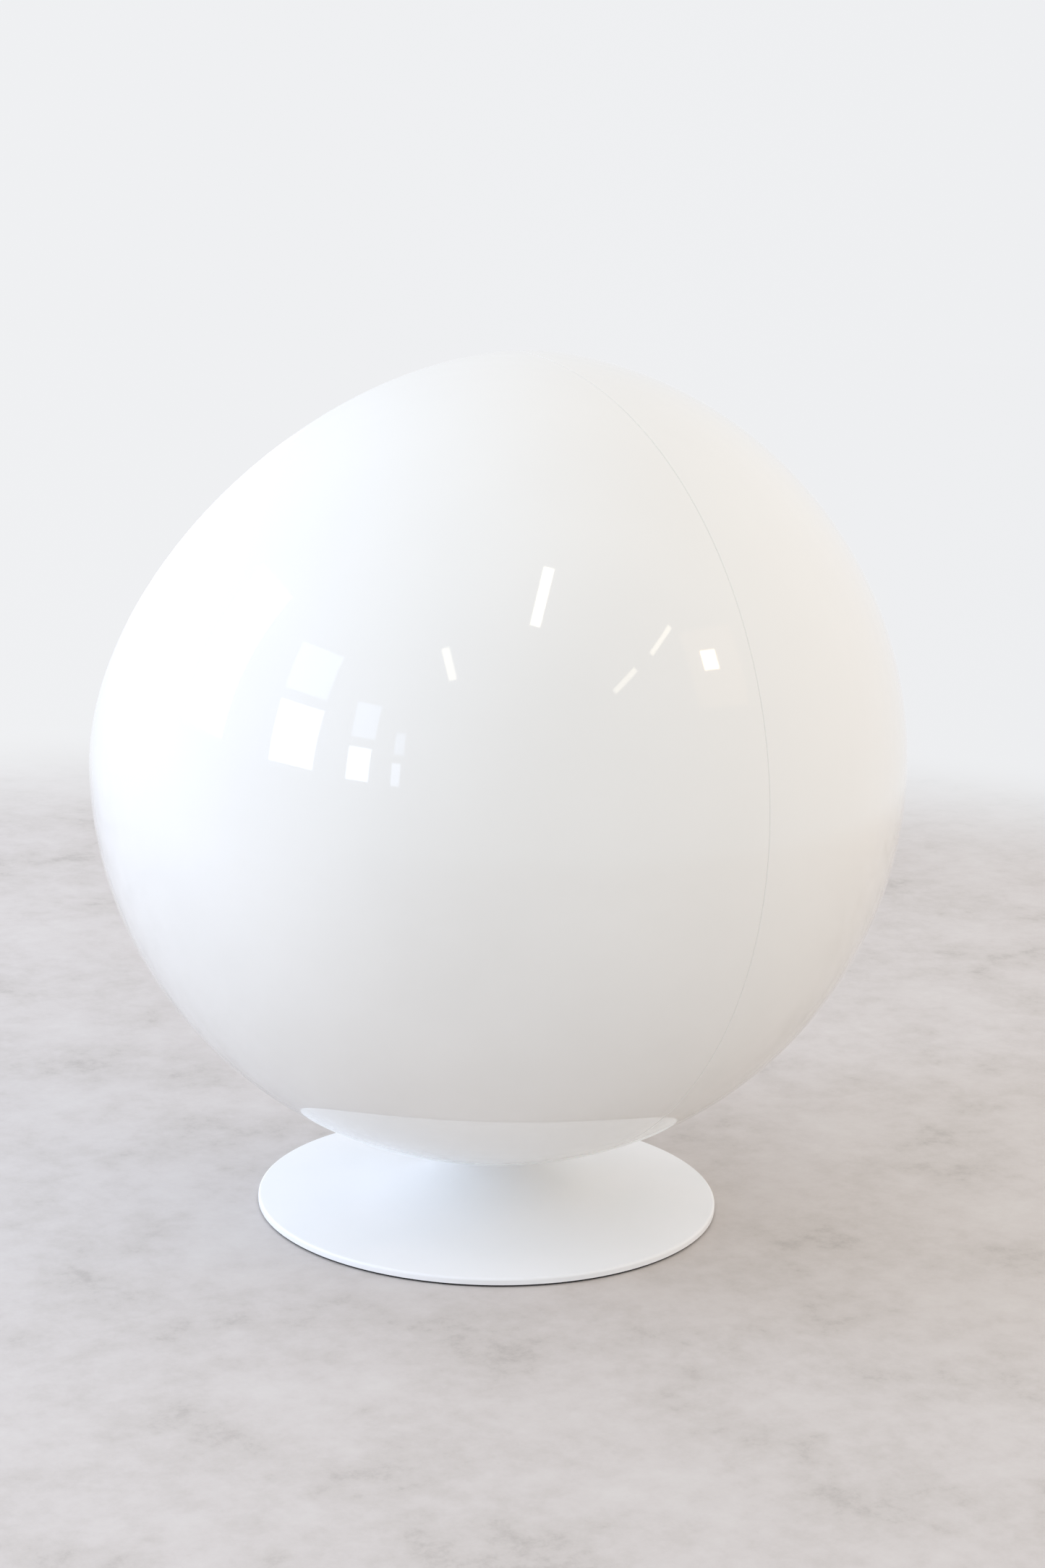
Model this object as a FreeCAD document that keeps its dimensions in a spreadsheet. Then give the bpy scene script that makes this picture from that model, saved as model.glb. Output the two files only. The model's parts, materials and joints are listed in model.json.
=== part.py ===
"""Globe lounge chair: a moulded ball with a round opening, turning on a low trumpet pedestal.

Origin on the floor at the swivel axis, +Z up, the opening faces -Y, all sizes in millimetres.
"""
import FreeCAD, Part
import Sketcher
import math
import os
import re

os.makedirs("parts", exist_ok=True)
doc = FreeCAD.newDocument("GlobeLoungeChair")

# ---------------------------------------------------------------------------------------------
# Driving dimensions. Angles are in degrees, everything else in millimetres.
# ---------------------------------------------------------------------------------------------
DIMENSIONS = {
    # the ball
    "ball_radius": 550.0,
    "shell_wall": 6.0,
    "opening_tilt": 26.3,          # how far the opening looks up
    "opening_offset": 228.0,       # ball centre to the plane of the opening
    "lip_width": 22.0,             # flat rim, measured towards the axis of the opening
    "lip_depth": 8.0,
    "lip_rounding": 3.5,
    "seam_strip_width": 70.0,
    "seam_strip_thickness": 3.0,
    # the upholstery
    "bond_gap": 0.3,               # glue line between parts that are bonded or laid together
    "liner_thickness": 28.0,
    "welt_radius": 5.0,
    "deck_rise": 169.5,            # bottom of the ball to the deck's top at the swivel axis
    "deck_tilt": 6.0,              # the deck falls towards the back
    "deck_thickness": 12.0,
    "deck_edge_gap": 2.0,
    "rib_thickness": 15.0,
    "rib_spacing": 320.0,
    "rib_front": 260.0,
    "rib_back": 200.0,
    "deck_screw_radius": 2.5,
    "deck_screw_length": 45.0,
    "deck_screw_pitch": 150.0,
    "hook_strip_length": 300.0,
    "hook_strip_width": 25.0,
    "hook_strip_thickness": 2.0,
    "hook_strip_pitch": 220.0,
    "cushion_gap": 4.0,
    "seat_cushion_thickness": 140.0,
    "back_cushion_width": 480.0,
    "back_cushion_height": 430.0,
    "back_cushion_front": 300.0,   # swivel axis to the front of the back cushion's foot
    "back_cushion_lean": 12.0,
    # the clamp between ball and swivel
    "dish_radius": 110.0,
    "dish_thickness": 6.0,
    "saddle_gap": 6.5,             # saddle to the inside of the pedestal's neck
    "saddle_clearance": 3.5,       # housing to saddle
    "saddle_thickness": 7.5,       # at the swivel axis
    "shell_bolt_edge": 18.0,       # bolt circle in from the saddle's edge
    "shell_bolt_radius": 5.0,
    "shell_bolt_head_radius": 8.0,
    "shell_bolt_head_height": 6.0,
    "washer_radius": 10.0,
    "washer_thickness": 2.0,
    "hole_clearance": 0.3,
    "thread_clearance": 0.1,
    # the swivel
    "spindle_radius": 15.0,
    "spindle_step": 2.5,           # each step of the spindle's radius
    "thread_step": 0.5,
    "spindle_socket": 5.0,         # how far the spindle enters the saddle
    "shoulder_height": 8.0,
    "bush_to_bearing": 14.0,
    "running_gap": 0.05,
    "seat_gap": 0.02,              # slip fit of races and bush in their seats
    "bearing_width": 16.0,
    "race_wall": 5.0,
    "race_spacing": 6.0,           # inner race to outer race
    "ball_size": 4.76,             # radius of one bearing ball
    "groove_gap": 0.1,
    "cage_wall": 3.4,
    "cage_height": 11.0,
    "bush_wall": 7.5,
    "bush_length": 24.0,
    "bush_gap": 0.4,               # spindle washer to bush
    "nut_floor_gap": 3.0,          # nut above the ballast plate's underside
    "nut_height": 8.0,
    "thread_end": 1.0,             # thread that shows under the nut
    "spindle_washer_wall": 11.5,
    "spindle_washer_thickness": 2.1,
    "circlip_thickness": 1.5,
    "circlip_cover": 2.5,          # circlip in over the outer race
    "circlip_bite": 2.0,           # circlip out into the housing
    # the housing
    "housing_wall": 18.0,          # at the nut pocket
    "housing_lip": 3.5,            # housing above the bearing
    "housing_flange_thickness": 6.0,
    "housing_flange_edge": 14.0,   # bolt circle in from the flange's edge
    "housing_bolt_step": 20.0,     # bolt circle out from the tube
    "nut_pocket_gap": 4.0,
    "housing_screw_radius": 4.0,
    "housing_screw_head_radius": 8.0,
    "housing_screw_head_height": 4.0,
    "housing_screw_engagement": 5.5,
    "seal_step": 3.0,
    "seal_wall": 10.0,
    "seal_gap": 0.3,
    "ring_height": 10.0,
    "ring_drop": 1.5,              # centring ring below the top of the housing
    "set_screw_radius": 3.0,
    "set_screw_depth": 2.0,        # set screw's head below the ring's outside
    # the pedestal
    "pedestal_radius": 319.0,
    "pedestal_wall": 3.5,
    "pedestal_edge_height": 5.5,
    "pedestal_edge_rounding": 3.5,
    "pedestal_neck_radius": 72.0,
    "pedestal_neck_rise": 1.5,     # top of the neck above the bottom of the ball
    "pedestal_flare_radius": 205.0,
    "pedestal_flare_height": 20.0,
    "floor_ring_thickness": 2.5,
    "floor_ring_width": 32.0,
    "floor_ring_inset": 2.0,
    "ballast_gap": 15.0,           # ballast plate to the inside of the pedestal's edge
    "ballast_thickness": 6.0,
    "ballast_hole_gap": 2.0,
}
BEARING_BALLS = 9
SHELL_BOLTS = 4
HOUSING_SCREWS = 6
SET_SCREWS = 3

sheet = doc.addObject("Spreadsheet::Sheet", "Sizes")
for row, (alias, number) in enumerate(DIMENSIONS.items(), start=1):
    sheet.set(f"A{row}", alias.replace("_", " "))
    sheet.set(f"B{row}", str(number))
    sheet.setAlias(f"B{row}", alias)
doc.recompute()

WORD = re.compile(r"[a-z][a-z_]*")

# Sizes that several pieces share, each written once as a formula over the sheet.
SHARED = {
    # heights, from the floor up
    "ballast_top": "(floor_ring_thickness + ballast_thickness)",
    "flange_top": "(ballast_top + housing_flange_thickness)",
    "nut_bottom": "(floor_ring_thickness + nut_floor_gap)",
    "spindle_end": "(nut_bottom - thread_end)",
    "nut_top": "(nut_bottom + nut_height)",
    "bush_bottom": "(nut_top + spindle_washer_thickness + bush_gap)",
    "bush_top": "(bush_bottom + bush_length)",
    "bearing_bottom": "(bush_top + bush_to_bearing)",
    "bearing_middle": "(bearing_bottom + bearing_width / 2)",
    "bearing_top": "(bearing_bottom + bearing_width)",
    "housing_top": "(bearing_top + housing_lip)",
    "ring_top": "(housing_top - ring_drop)",
    "saddle_bottom": "(housing_top + saddle_clearance)",
    "ball_bottom": "(saddle_bottom + saddle_thickness)",
    "ball_centre_height": "(ball_bottom + ball_radius)",
    "deck_height": "(ball_bottom + deck_rise)",
    # radii about the swivel axis
    "journal_radius": "(spindle_radius - spindle_step)",
    "thread_radius": "(journal_radius - thread_step)",
    "shoulder_radius": "(spindle_radius + spindle_step)",
    "pitch_radius": "(spindle_radius + race_wall + race_spacing / 2)",
    "bearing_outer_radius": "(spindle_radius + 2 * race_wall + race_spacing)",
    "circlip_outer": "(bearing_outer_radius + circlip_bite)",
    "bush_radius": "(journal_radius + bush_wall)",
    "spindle_washer_radius": "(journal_radius + spindle_washer_wall)",
    "nut_pocket_radius": "(spindle_washer_radius + nut_pocket_gap)",
    "housing_radius": "(nut_pocket_radius + housing_wall)",
    "housing_bolt_circle": "(housing_radius + housing_bolt_step)",
    "neck_inner_radius": "(pedestal_neck_radius - pedestal_wall)",
    "saddle_radius": "(neck_inner_radius - saddle_gap)",
    "shell_bolt_circle": "(saddle_radius - shell_bolt_edge)",
    "ballast_radius": "(pedestal_radius - pedestal_wall - ballast_gap)",
    "floor_ring_radius": "(pedestal_radius - floor_ring_inset)",
    # spheres and planes of the ball, from its centre
    "rim_radius": "sqrt(ball_radius^2 - opening_offset^2)",
    "shell_inner": "(ball_radius - shell_wall)",
    "strip_outer": "(shell_inner - bond_gap)",
    "strip_inner": "(strip_outer - seam_strip_thickness)",
    "liner_outer": "(strip_inner - bond_gap)",
    "liner_inner": "(liner_outer - liner_thickness)",
    "cushion_limit": "(liner_inner - cushion_gap)",
    "lip_back": "(opening_offset - lip_depth)",
    "liner_front": "(lip_back - bond_gap)",
    "dish_inner": "(strip_outer - dish_thickness)",
    "washer_seat": "(ball_centre_height - sqrt(dish_inner^2 - (shell_bolt_circle - washer_radius)^2))",
}


def formula(text):
    """Spell out the shared sizes, then point every dimension's name at the spreadsheet."""
    def swap(match):
        word = match.group(0)
        if word in SHARED:
            return "(" + WORD.sub(swap, SHARED[word]) + ")"
        return f"Sizes.{word}" if word in DIMENSIONS else word
    return WORD.sub(swap, text)


probe = doc.addObject("App::FeaturePython", "Probe")
probe.addProperty("App::PropertyFloat", "Answer")


def measure(text):
    """The number that a formula over the sheet has, for shapes made by Part's own functions."""
    probe.setExpression("Answer", formula(text))
    probe.recompute()
    return probe.Answer


def bind(item, **sizes):
    """Bind an object's properties to formulas; a double underscore stands for a dot."""
    for name, text in sizes.items():
        item.setExpression(name.replace("__", "."), formula(text))
    return item


# ---------------------------------------------------------------------------------------------
# Building blocks
# ---------------------------------------------------------------------------------------------
def disc(name, radius, low, high, x="0", y="0"):
    """An upright cylinder from height low to height high."""
    return bind(doc.addObject("Part::Cylinder", name), Radius=radius, Height=f"({high}) - ({low})",
                Placement__Base__x=x, Placement__Base__y=y, Placement__Base__z=low)


def tilted_disc(name, radius, low, high, foot, lean):
    """A cylinder about a leaning line in the X = 0 plane.

    foot is the (y, z) point that low and high are measured from, lean the angle that the line
    has been turned about X from upright.
    """
    item = doc.addObject("Part::Cylinder", name)
    item.Placement = FreeCAD.Placement(FreeCAD.Vector(), FreeCAD.Rotation(FreeCAD.Vector(1, 0, 0), 30))
    return bind(item, Radius=radius, Height=f"({high}) - ({low})",
                Placement__Rotation__Angle=lean,
                Placement__Base__y=f"{foot[0]} - ({low}) * sin({lean})",
                Placement__Base__z=f"{foot[1]} + ({low}) * cos({lean})")


def opening_disc(name, radius, low, high):
    """A cylinder along the axis of the opening, measured from the centre of the ball."""
    return tilted_disc(name, radius, low, high, ("0", "ball_centre_height"), "90 - opening_tilt")


def behind(name, plane):
    """Everything in the ball that lies further back than a plane parallel to the opening."""
    return opening_disc(name, "ball_radius * 1.2", "-ball_radius * 1.2", plane)


def deck_slab(name, low, high):
    """A slab parallel to the deck, measured from the deck's top face."""
    lean = "-deck_tilt"
    return tilted_disc(name, "ball_radius * 1.2", low, high, ("0", "deck_height"), lean)


def deck_pin(name, radius, low, high, x, along):
    """A cylinder square to the deck, a distance along its slope from the swivel axis."""
    foot = (f"({along}) * cos(deck_tilt)", f"deck_height - ({along}) * sin(deck_tilt)")
    return bind(tilted_disc(name, radius, low, high, foot, "-deck_tilt"), Placement__Base__x=x)


def ball(name, radius, x="0", y="0", z="ball_centre_height"):
    """A sphere, on the centre of the chair's ball unless another place is given."""
    return bind(doc.addObject("Part::Sphere", name), Radius=radius,
                Placement__Base__x=x, Placement__Base__y=y, Placement__Base__z=z)


def block(name, x, y, z):
    """A box between the lower and upper bounds given for each axis."""
    return bind(doc.addObject("Part::Box", name),
                Length=f"({x[1]}) - ({x[0]})", Width=f"({y[1]}) - ({y[0]})",
                Height=f"({z[1]}) - ({z[0]})",
                Placement__Base__x=x[0], Placement__Base__y=y[0], Placement__Base__z=z[0])


def radial_disc(name, radius, near, far, height, angle):
    """A cylinder that points straight out from the swivel axis, from radius near to radius far."""
    item = doc.addObject("Part::Cylinder", name)
    spin = FreeCAD.Rotation(FreeCAD.Vector(0, 0, 1), angle)
    item.Placement = FreeCAD.Placement(
        FreeCAD.Vector(), spin * FreeCAD.Rotation(FreeCAD.Vector(0, 1, 0), 90))
    return bind(item, Radius=radius, Height=f"({far}) - ({near})",
                Placement__Base__x=f"({near}) * cos({angle})",
                Placement__Base__y=f"({near}) * sin({angle})", Placement__Base__z=height)


def fuse(name, *items):
    """The union of several objects."""
    item = doc.addObject("Part::MultiFuse", name)
    item.Shapes = list(items)
    item.Refine = True
    return item


def common(name, *items):
    """What several objects share."""
    item = doc.addObject("Part::MultiCommon", name)
    item.Shapes = list(items)
    return item


def cut(name, base, *tools):
    """An object less its tools."""
    item = doc.addObject("Part::Cut", name)
    item.Base = base
    item.Tool = tools[0] if len(tools) == 1 else fuse(name + "Tools", *tools)
    return item


def group(name, items):
    """Separate solids kept together, such as a set of screws."""
    item = doc.addObject("Part::Compound", name)
    item.Links = list(items)
    return item


def ring(name, outer, inner, low, high):
    """A plain ring about the swivel axis."""
    return cut(name, disc(name + "Outer", outer, low, high),
               disc(name + "Bore", inner, f"({low}) - 1", f"({high}) + 1"))


def polar(radius, index, count, start=0.0):
    """Formulas for the place of one of several things spaced round the swivel axis."""
    angle = start + 360.0 * index / count
    return f"({radius}) * cos({angle:.3f})", f"({radius}) * sin({angle:.3f})"


nodes = []


def node(item, label):
    """Label an object as one finished sub-part of the chair."""
    item.Label = label
    nodes.append(item)
    return item


# ---------------------------------------------------------------------------------------------
# The ball: one lipped shell, moulded in two halves that meet on the X = 0 plane.
# Left and right are those of a person sitting in it, so left is +X.
# ---------------------------------------------------------------------------------------------
def shell_profile(body, name):
    """Sketch of the shell's wall and lip: across is the distance from the axis of the opening,
    up is the distance from the centre of the ball towards the opening.
    """
    sketch = body.newObject("Sketcher::SketchObject", name)
    plane = next(item for item in body.Origin.OriginFeatures if item.Role == "YZ_Plane")
    sketch.AttachmentSupport = [(plane, "")]
    sketch.MapMode = "FlatFace"
    outer = measure("ball_radius")
    inner = measure("shell_inner")
    front = measure("opening_offset")
    back = measure("lip_back")
    bore = measure("rim_radius - lip_width")
    turn = measure("lip_rounding")
    # the rim's rounding touches the outside of the ball from within
    turn_x = math.sqrt((outer - turn) ** 2 - (front - turn) ** 2)
    touch = outer / (outer - turn)

    def point(x, y):
        return FreeCAD.Vector(x, y, 0)

    def arc(centre, radius, start, end):
        circle = Part.Circle(centre, FreeCAD.Vector(0, 0, 1), radius)
        angles = [math.atan2(p.y - centre.y, p.x - centre.x) for p in (start, end)]
        return Part.ArcOfCircle(circle, *angles)

    rim = point(turn_x * touch, (front - turn) * touch)
    root = point(math.sqrt(inner ** 2 - back ** 2), back)
    edges = [
        arc(point(0, 0), outer, point(0, -outer), rim),
        arc(point(turn_x, front - turn), turn, rim, point(turn_x, front)),
        Part.LineSegment(point(turn_x, front), point(bore + turn, front)),
        arc(point(bore + turn, front - turn), turn, point(bore + turn, front),
            point(bore, front - turn)),
        Part.LineSegment(point(bore, front - turn), point(bore, back + turn)),
        arc(point(bore + turn, back + turn), turn, point(bore, back + turn),
            point(bore + turn, back)),
        Part.LineSegment(point(bore + turn, back), root),
        arc(point(0, 0), inner, point(0, -inner), root),
        Part.LineSegment(point(0, -inner), point(0, -outer)),
    ]
    wall, nose, face, lip, side, heel, rear, lining, pole = range(len(edges))
    sketch.addGeometry(edges, False)
    start, end, centre, origin = 1, 2, 3, (-1, 1)
    rules = [
        ("Tangent", wall, end, nose, start), ("Tangent", nose, end, face, start),
        ("Tangent", face, end, lip, start), ("Tangent", lip, end, side, start),
        ("Tangent", side, end, heel, start), ("Tangent", heel, end, rear, start),
        ("Coincident", rear, end, lining, end), ("Coincident", lining, start, pole, start),
        ("Coincident", pole, end, wall, start), ("Coincident", wall, centre, *origin),
        ("Coincident", lining, centre, *origin), ("PointOnObject", pole, start, -2),
        ("PointOnObject", pole, end, -2), ("Horizontal", face), ("Vertical", side),
        ("Horizontal", rear), ("Equal", nose, lip), ("Equal", nose, heel),
    ]
    for rule in rules:
        sketch.addConstraint(Sketcher.Constraint(*rule))
    driven = [
        (("Radius", wall, outer), "ball_radius"),
        (("Radius", lining, inner), "shell_inner"),
        (("Radius", nose, turn), "lip_rounding"),
        (("DistanceY", *origin, face, end, front), "opening_offset"),
        (("DistanceY", *origin, rear, end, back), "lip_back"),
        (("DistanceX", *origin, side, start, bore), "rim_radius - lip_width"),
    ]
    for rule, text in driven:
        number = sketch.addConstraint(Sketcher.Constraint(*rule))
        sketch.setExpression(f"Constraints[{number}]", formula(text))
    return sketch


def bolt_places():
    """Name and place of each bolt that holds the ball to the swivel."""
    return [(number, *polar("shell_bolt_circle", number, SHELL_BOLTS, 45.0))
            for number in range(SHELL_BOLTS)]


def bolt_holes(owner, clearance):
    """Upright holes on the bolt circle, from the floor to the centre of the ball."""
    return [disc(f"{owner}BoltHole{number}", f"shell_bolt_radius + {clearance}", "0",
                 "ball_centre_height", x, y) for number, x, y in bolt_places()]


def shell_half(name, label, to_left):
    """One half of the shell: the wall's profile turned half round the axis of the opening."""
    body = doc.addObject("PartDesign::Body", name + "Body")
    body.Placement = FreeCAD.Placement(FreeCAD.Vector(), FreeCAD.Rotation(FreeCAD.Vector(1, 0, 0), 30))
    bind(body, Placement__Rotation__Angle="90 - opening_tilt", Placement__Base__z="ball_centre_height")
    sketch = shell_profile(body, name + "Profile")
    half = body.newObject("PartDesign::Revolution", name + "Wall")
    half.Profile = sketch
    half.ReferenceAxis = (sketch, ["V_Axis"])
    half.Angle = 180
    half.Reversed = to_left
    return node(cut(name, body, *bolt_holes(name, "hole_clearance")), label)


shell_half("ShellLeft", "shell_left", True)
shell_half("ShellRight", "shell_right", False)

# laminate over the seam inside, left off where the reinforcement dish lies
strip_band = block("StripBand", ("-seam_strip_width / 2", "seam_strip_width / 2"),
                   ("-ball_radius", "ball_radius"), ("0", "ball_centre_height + ball_radius"))
strip_path = common("StripPath", ball("StripOuter", "strip_outer"), strip_band,
                    behind("StripBehind", "lip_back - bond_gap"))
node(cut("SeamStrips", strip_path, ball("StripInner", "strip_inner"),
         disc("StripStop", "dish_radius + bond_gap", "0", "ball_centre_height")), "seam_strips")

# ---------------------------------------------------------------------------------------------
# Upholstery: lining, welt, deck and cushions
# ---------------------------------------------------------------------------------------------
lining = cut("Lining", common("LiningPlain", ball("LiningOuter", "liner_outer"),
                              behind("LiningBehind", "liner_front")),
             ball("LiningInner", "liner_inner"),
             deck_slab("LiningFoot", "-ball_radius * 1.2", "bond_gap"))


def lining_panel(name, label, x, rise):
    """One of the lining's four foam panels, which meet edge to edge behind the cloth.

    x is the panel's range along X, rise its range above the plane through the opening's axis.
    """
    side = block(name + "Side", x, ("-ball_radius", "ball_radius"),
                 ("0", "ball_centre_height + ball_radius"))
    level = tilted_disc(name + "Level", "ball_radius * 1.2", *rise, ("0", "ball_centre_height"),
                        "-opening_tilt")
    node(common(name, lining, side, level), label)


upper, lower = ("0", "ball_radius * 1.2"), ("-ball_radius * 1.2", "0")
for name, label, x in (("Left", "left", ("0", "ball_radius")), ("Right", "right", ("-ball_radius", "0"))):
    lining_panel("LiningUpper" + name, "lining_upper_" + label, x, upper)
    lining_panel("LiningLower" + name, "lining_lower_" + label, x, lower)

welt = bind(doc.addObject("Part::Torus", "RimWelt"), Radius2="welt_radius",
            Radius1="rim_radius - lip_width - welt_radius - bond_gap")
welt.Placement = FreeCAD.Placement(FreeCAD.Vector(), FreeCAD.Rotation(FreeCAD.Vector(1, 0, 0), 30))
bind(welt, Placement__Rotation__Angle="90 - opening_tilt",
     Placement__Base__y="-(lip_back + welt_radius) * cos(opening_tilt)",
     Placement__Base__z="ball_centre_height + (lip_back + welt_radius) * sin(opening_tilt)")
node(welt, "rim_welt")


def deck_screws(owner, extra, top="0"):
    """Countersunk screws through the deck into the ribs, or the holes for them."""
    made = []
    for side in (-1, 1):
        for end in (-1, 1):
            at = (f"{side} * rib_spacing / 2", f"{end} * deck_screw_pitch / 2")
            name = f"{owner}{'R' if side < 0 else 'L'}{'F' if end < 0 else 'B'}"
            shank = deck_pin(name + "Shank", f"deck_screw_radius + {extra}",
                             f"-deck_screw_length - {extra}", "-1", *at)
            head = deck_pin(name + "Head", f"deck_screw_radius * 2 + {extra}",
                            f"-deck_screw_radius - {extra}", top, *at)
            made.append(fuse(name, shank, head))
    return made


deck_plain = common("DeckPlain", deck_slab("DeckSlab", "-deck_thickness", "0"),
                    ball("DeckEdge", "liner_outer - deck_edge_gap"),
                    behind("DeckBehind", "liner_front"))
node(cut("DeckBoard", deck_plain, *deck_screws("DeckHole", "hole_clearance", "5")), "deck_board")

for side, label in ((1, "deck_rib_left"), (-1, "deck_rib_right")):
    name = "RibLeft" if side > 0 else "RibRight"
    middle = f"{side} * rib_spacing / 2"
    plate = block(name + "Plate", (f"{middle} - rib_thickness / 2", f"{middle} + rib_thickness / 2"),
                  ("-rib_front", "rib_back"), ("0", "ball_centre_height"))
    rib = common(name + "Plain", plate, ball(name + "Edge", "strip_outer"),
                 deck_slab(name + "Top", "-ball_radius * 1.2", "-deck_thickness"))
    node(cut(name, rib, *deck_screws(name + "Hole", "thread_clearance", "5")), label)

node(group("DeckScrews", deck_screws("DeckScrew", "0")), "deck_screws")


def hook_strip(name, along):
    """One strip of hook tape stapled to the deck."""
    item = doc.addObject("Part::Box", name)
    item.Placement = FreeCAD.Placement(FreeCAD.Vector(), FreeCAD.Rotation(FreeCAD.Vector(1, 0, 0), 30))
    return bind(item, Length="hook_strip_length", Width="hook_strip_width",
                Height="hook_strip_thickness", Placement__Rotation__Angle="-deck_tilt",
                Placement__Base__x="-hook_strip_length / 2",
                Placement__Base__y=f"({along}) * cos(deck_tilt)",
                Placement__Base__z=f"deck_height - ({along}) * sin(deck_tilt)")


node(group("HookStrips", [hook_strip("HookFront", "-hook_strip_pitch"),
                          hook_strip("HookBack", "hook_strip_pitch")]), "hook_strips")

seat_bottom = "hook_strip_thickness + bond_gap"
seat_top = f"({seat_bottom} + seat_cushion_thickness)"
node(common("SeatCushion", deck_slab("SeatSlab", seat_bottom, seat_top),
            ball("SeatEdge", "cushion_limit"), behind("SeatFront", "opening_offset")), "seat_cushion")

back_box = doc.addObject("Part::Box", "BackBox")
back_box.Placement = FreeCAD.Placement(FreeCAD.Vector(), FreeCAD.Rotation(FreeCAD.Vector(1, 0, 0), 30))
bind(back_box, Length="back_cushion_width", Width="ball_radius", Height="back_cushion_height",
     Placement__Rotation__Angle="-back_cushion_lean", Placement__Base__x="-back_cushion_width / 2",
     Placement__Base__y="back_cushion_front",
     Placement__Base__z=f"deck_height + {seat_top} / cos(deck_tilt) - back_cushion_front * tan(deck_tilt)")
back_plain = common("BackPlain", back_box, ball("BackEdge", "cushion_limit"))
node(cut("BackCushion", back_plain,
         deck_slab("BackFoot", "-ball_radius * 1.2", f"{seat_top} + cushion_gap")), "back_cushion")

# ---------------------------------------------------------------------------------------------
# The clamp that holds the ball to the swivel
# ---------------------------------------------------------------------------------------------
dish = common("DishPlain", ball("DishOuter", "strip_outer"),
              disc("DishRim", "dish_radius", "0", "ball_centre_height"))
spot_faces = [disc(f"SpotFace{number}", "washer_radius + hole_clearance", "washer_seat",
                   "ball_centre_height", x, y) for number, x, y in bolt_places()]
node(cut("ReinforcementDish", dish, ball("DishInner", "dish_inner"), *spot_faces,
         *bolt_holes("Dish", "hole_clearance")), "reinforcement_dish")

saddle = disc("SaddlePlain", "saddle_radius", "saddle_bottom", "ball_bottom + saddle_gap * 4")
node(cut("SwivelSaddle", saddle, ball("SaddleSeat", "ball_radius + bond_gap"),
         disc("SpindleSocket", "spindle_radius + seat_gap", "saddle_bottom - 1",
              "saddle_bottom + spindle_socket + seat_gap"),
         *bolt_holes("Saddle", "thread_clearance")), "swivel_saddle")

bolts = []
washers = []
for number, x, y in bolt_places():
    under_head = "washer_seat + washer_thickness"
    shank = disc(f"BoltShank{number}", "shell_bolt_radius", "saddle_bottom + 1", under_head, x, y)
    head = disc(f"BoltHead{number}", "shell_bolt_head_radius", under_head,
                f"{under_head} + shell_bolt_head_height", x, y)
    socket = bind(doc.addObject("Part::Prism", f"BoltSocket{number}"), Polygon="6",
                  Circumradius="shell_bolt_radius * 0.9", Height="shell_bolt_head_height",
                  Placement__Base__x=x, Placement__Base__y=y,
                  Placement__Base__z=f"{under_head} + shell_bolt_head_height / 3")
    bolts.append(cut(f"Bolt{number}", fuse(f"BoltPlain{number}", shank, head), socket))
    washers.append(cut(f"Washer{number}",
                       disc(f"WasherDisc{number}", "washer_radius", "washer_seat", under_head, x, y),
                       disc(f"WasherBore{number}", "shell_bolt_radius + hole_clearance",
                            "washer_seat - 1", f"{under_head} + 1", x, y)))
node(group("ShellBolts", bolts), "shell_bolts")
node(group("ShellWashers", washers), "shell_washers")

# ---------------------------------------------------------------------------------------------
# The swivel
# ---------------------------------------------------------------------------------------------
node(fuse("Spindle", disc("Thread", "thread_radius", "spindle_end", "nut_top"),
          disc("Journal", "journal_radius", "nut_top", "bearing_bottom - shoulder_height"),
          disc("Shoulder", "shoulder_radius", "bearing_bottom - shoulder_height",
               "bearing_bottom"),
          disc("Seat", "spindle_radius", "bearing_bottom", "saddle_bottom + spindle_socket")),
     "spindle")
node(ring("SpacerCollar", "spindle_radius + race_wall", "spindle_radius + seat_gap", "bearing_top",
          "saddle_bottom"), "spacer_collar")
node(ring("SpindleWasher", "spindle_washer_radius", "journal_radius + thread_clearance",
          "nut_top", "nut_top + spindle_washer_thickness"), "spindle_washer")
nut_blank = bind(doc.addObject("Part::Prism", "NutBlank"), Polygon="6",
                 Circumradius="thread_radius * sqrt(3)", Height="nut_height",
                 Placement__Base__z="nut_bottom")
node(cut("SpindleNut", nut_blank, disc("NutBore", "thread_radius + thread_clearance", "0",
                                       "nut_top + 1")), "spindle_nut")


def groove(name):
    """The round track that the bearing's balls run in."""
    return bind(doc.addObject("Part::Torus", name), Radius1="pitch_radius",
                Radius2="ball_size + groove_gap", Placement__Base__z="bearing_middle")


node(cut("InnerRace", ring("InnerRacePlain", "spindle_radius + race_wall",
                           "spindle_radius + seat_gap", "bearing_bottom", "bearing_top"),
         groove("InnerTrack")), "bearing_inner_race")
node(cut("OuterRace", ring("OuterRacePlain", "bearing_outer_radius",
                           "bearing_outer_radius - race_wall", "bearing_bottom", "bearing_top"),
         groove("OuterTrack")), "bearing_outer_race")


bearing_balls = []
pockets = []
for turn in range(BEARING_BALLS):
    bearing_balls.append(ball(f"BearingBall{turn}", "ball_size",
                              *polar("pitch_radius", turn, BEARING_BALLS), "bearing_middle"))
    pockets.append(radial_disc(f"Pocket{turn}", "ball_size + groove_gap",
                               "pitch_radius - cage_wall", "pitch_radius + cage_wall",
                               "bearing_middle", 360.0 * turn / BEARING_BALLS))
node(group("BearingBalls", bearing_balls), "bearing_balls")
cage_blank = ring("CageBlank", "pitch_radius + cage_wall / 2", "pitch_radius - cage_wall / 2",
                  "bearing_middle - cage_height / 2", "bearing_middle + cage_height / 2")
node(cut("BallCage", cage_blank, *pockets), "ball_cage")

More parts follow.
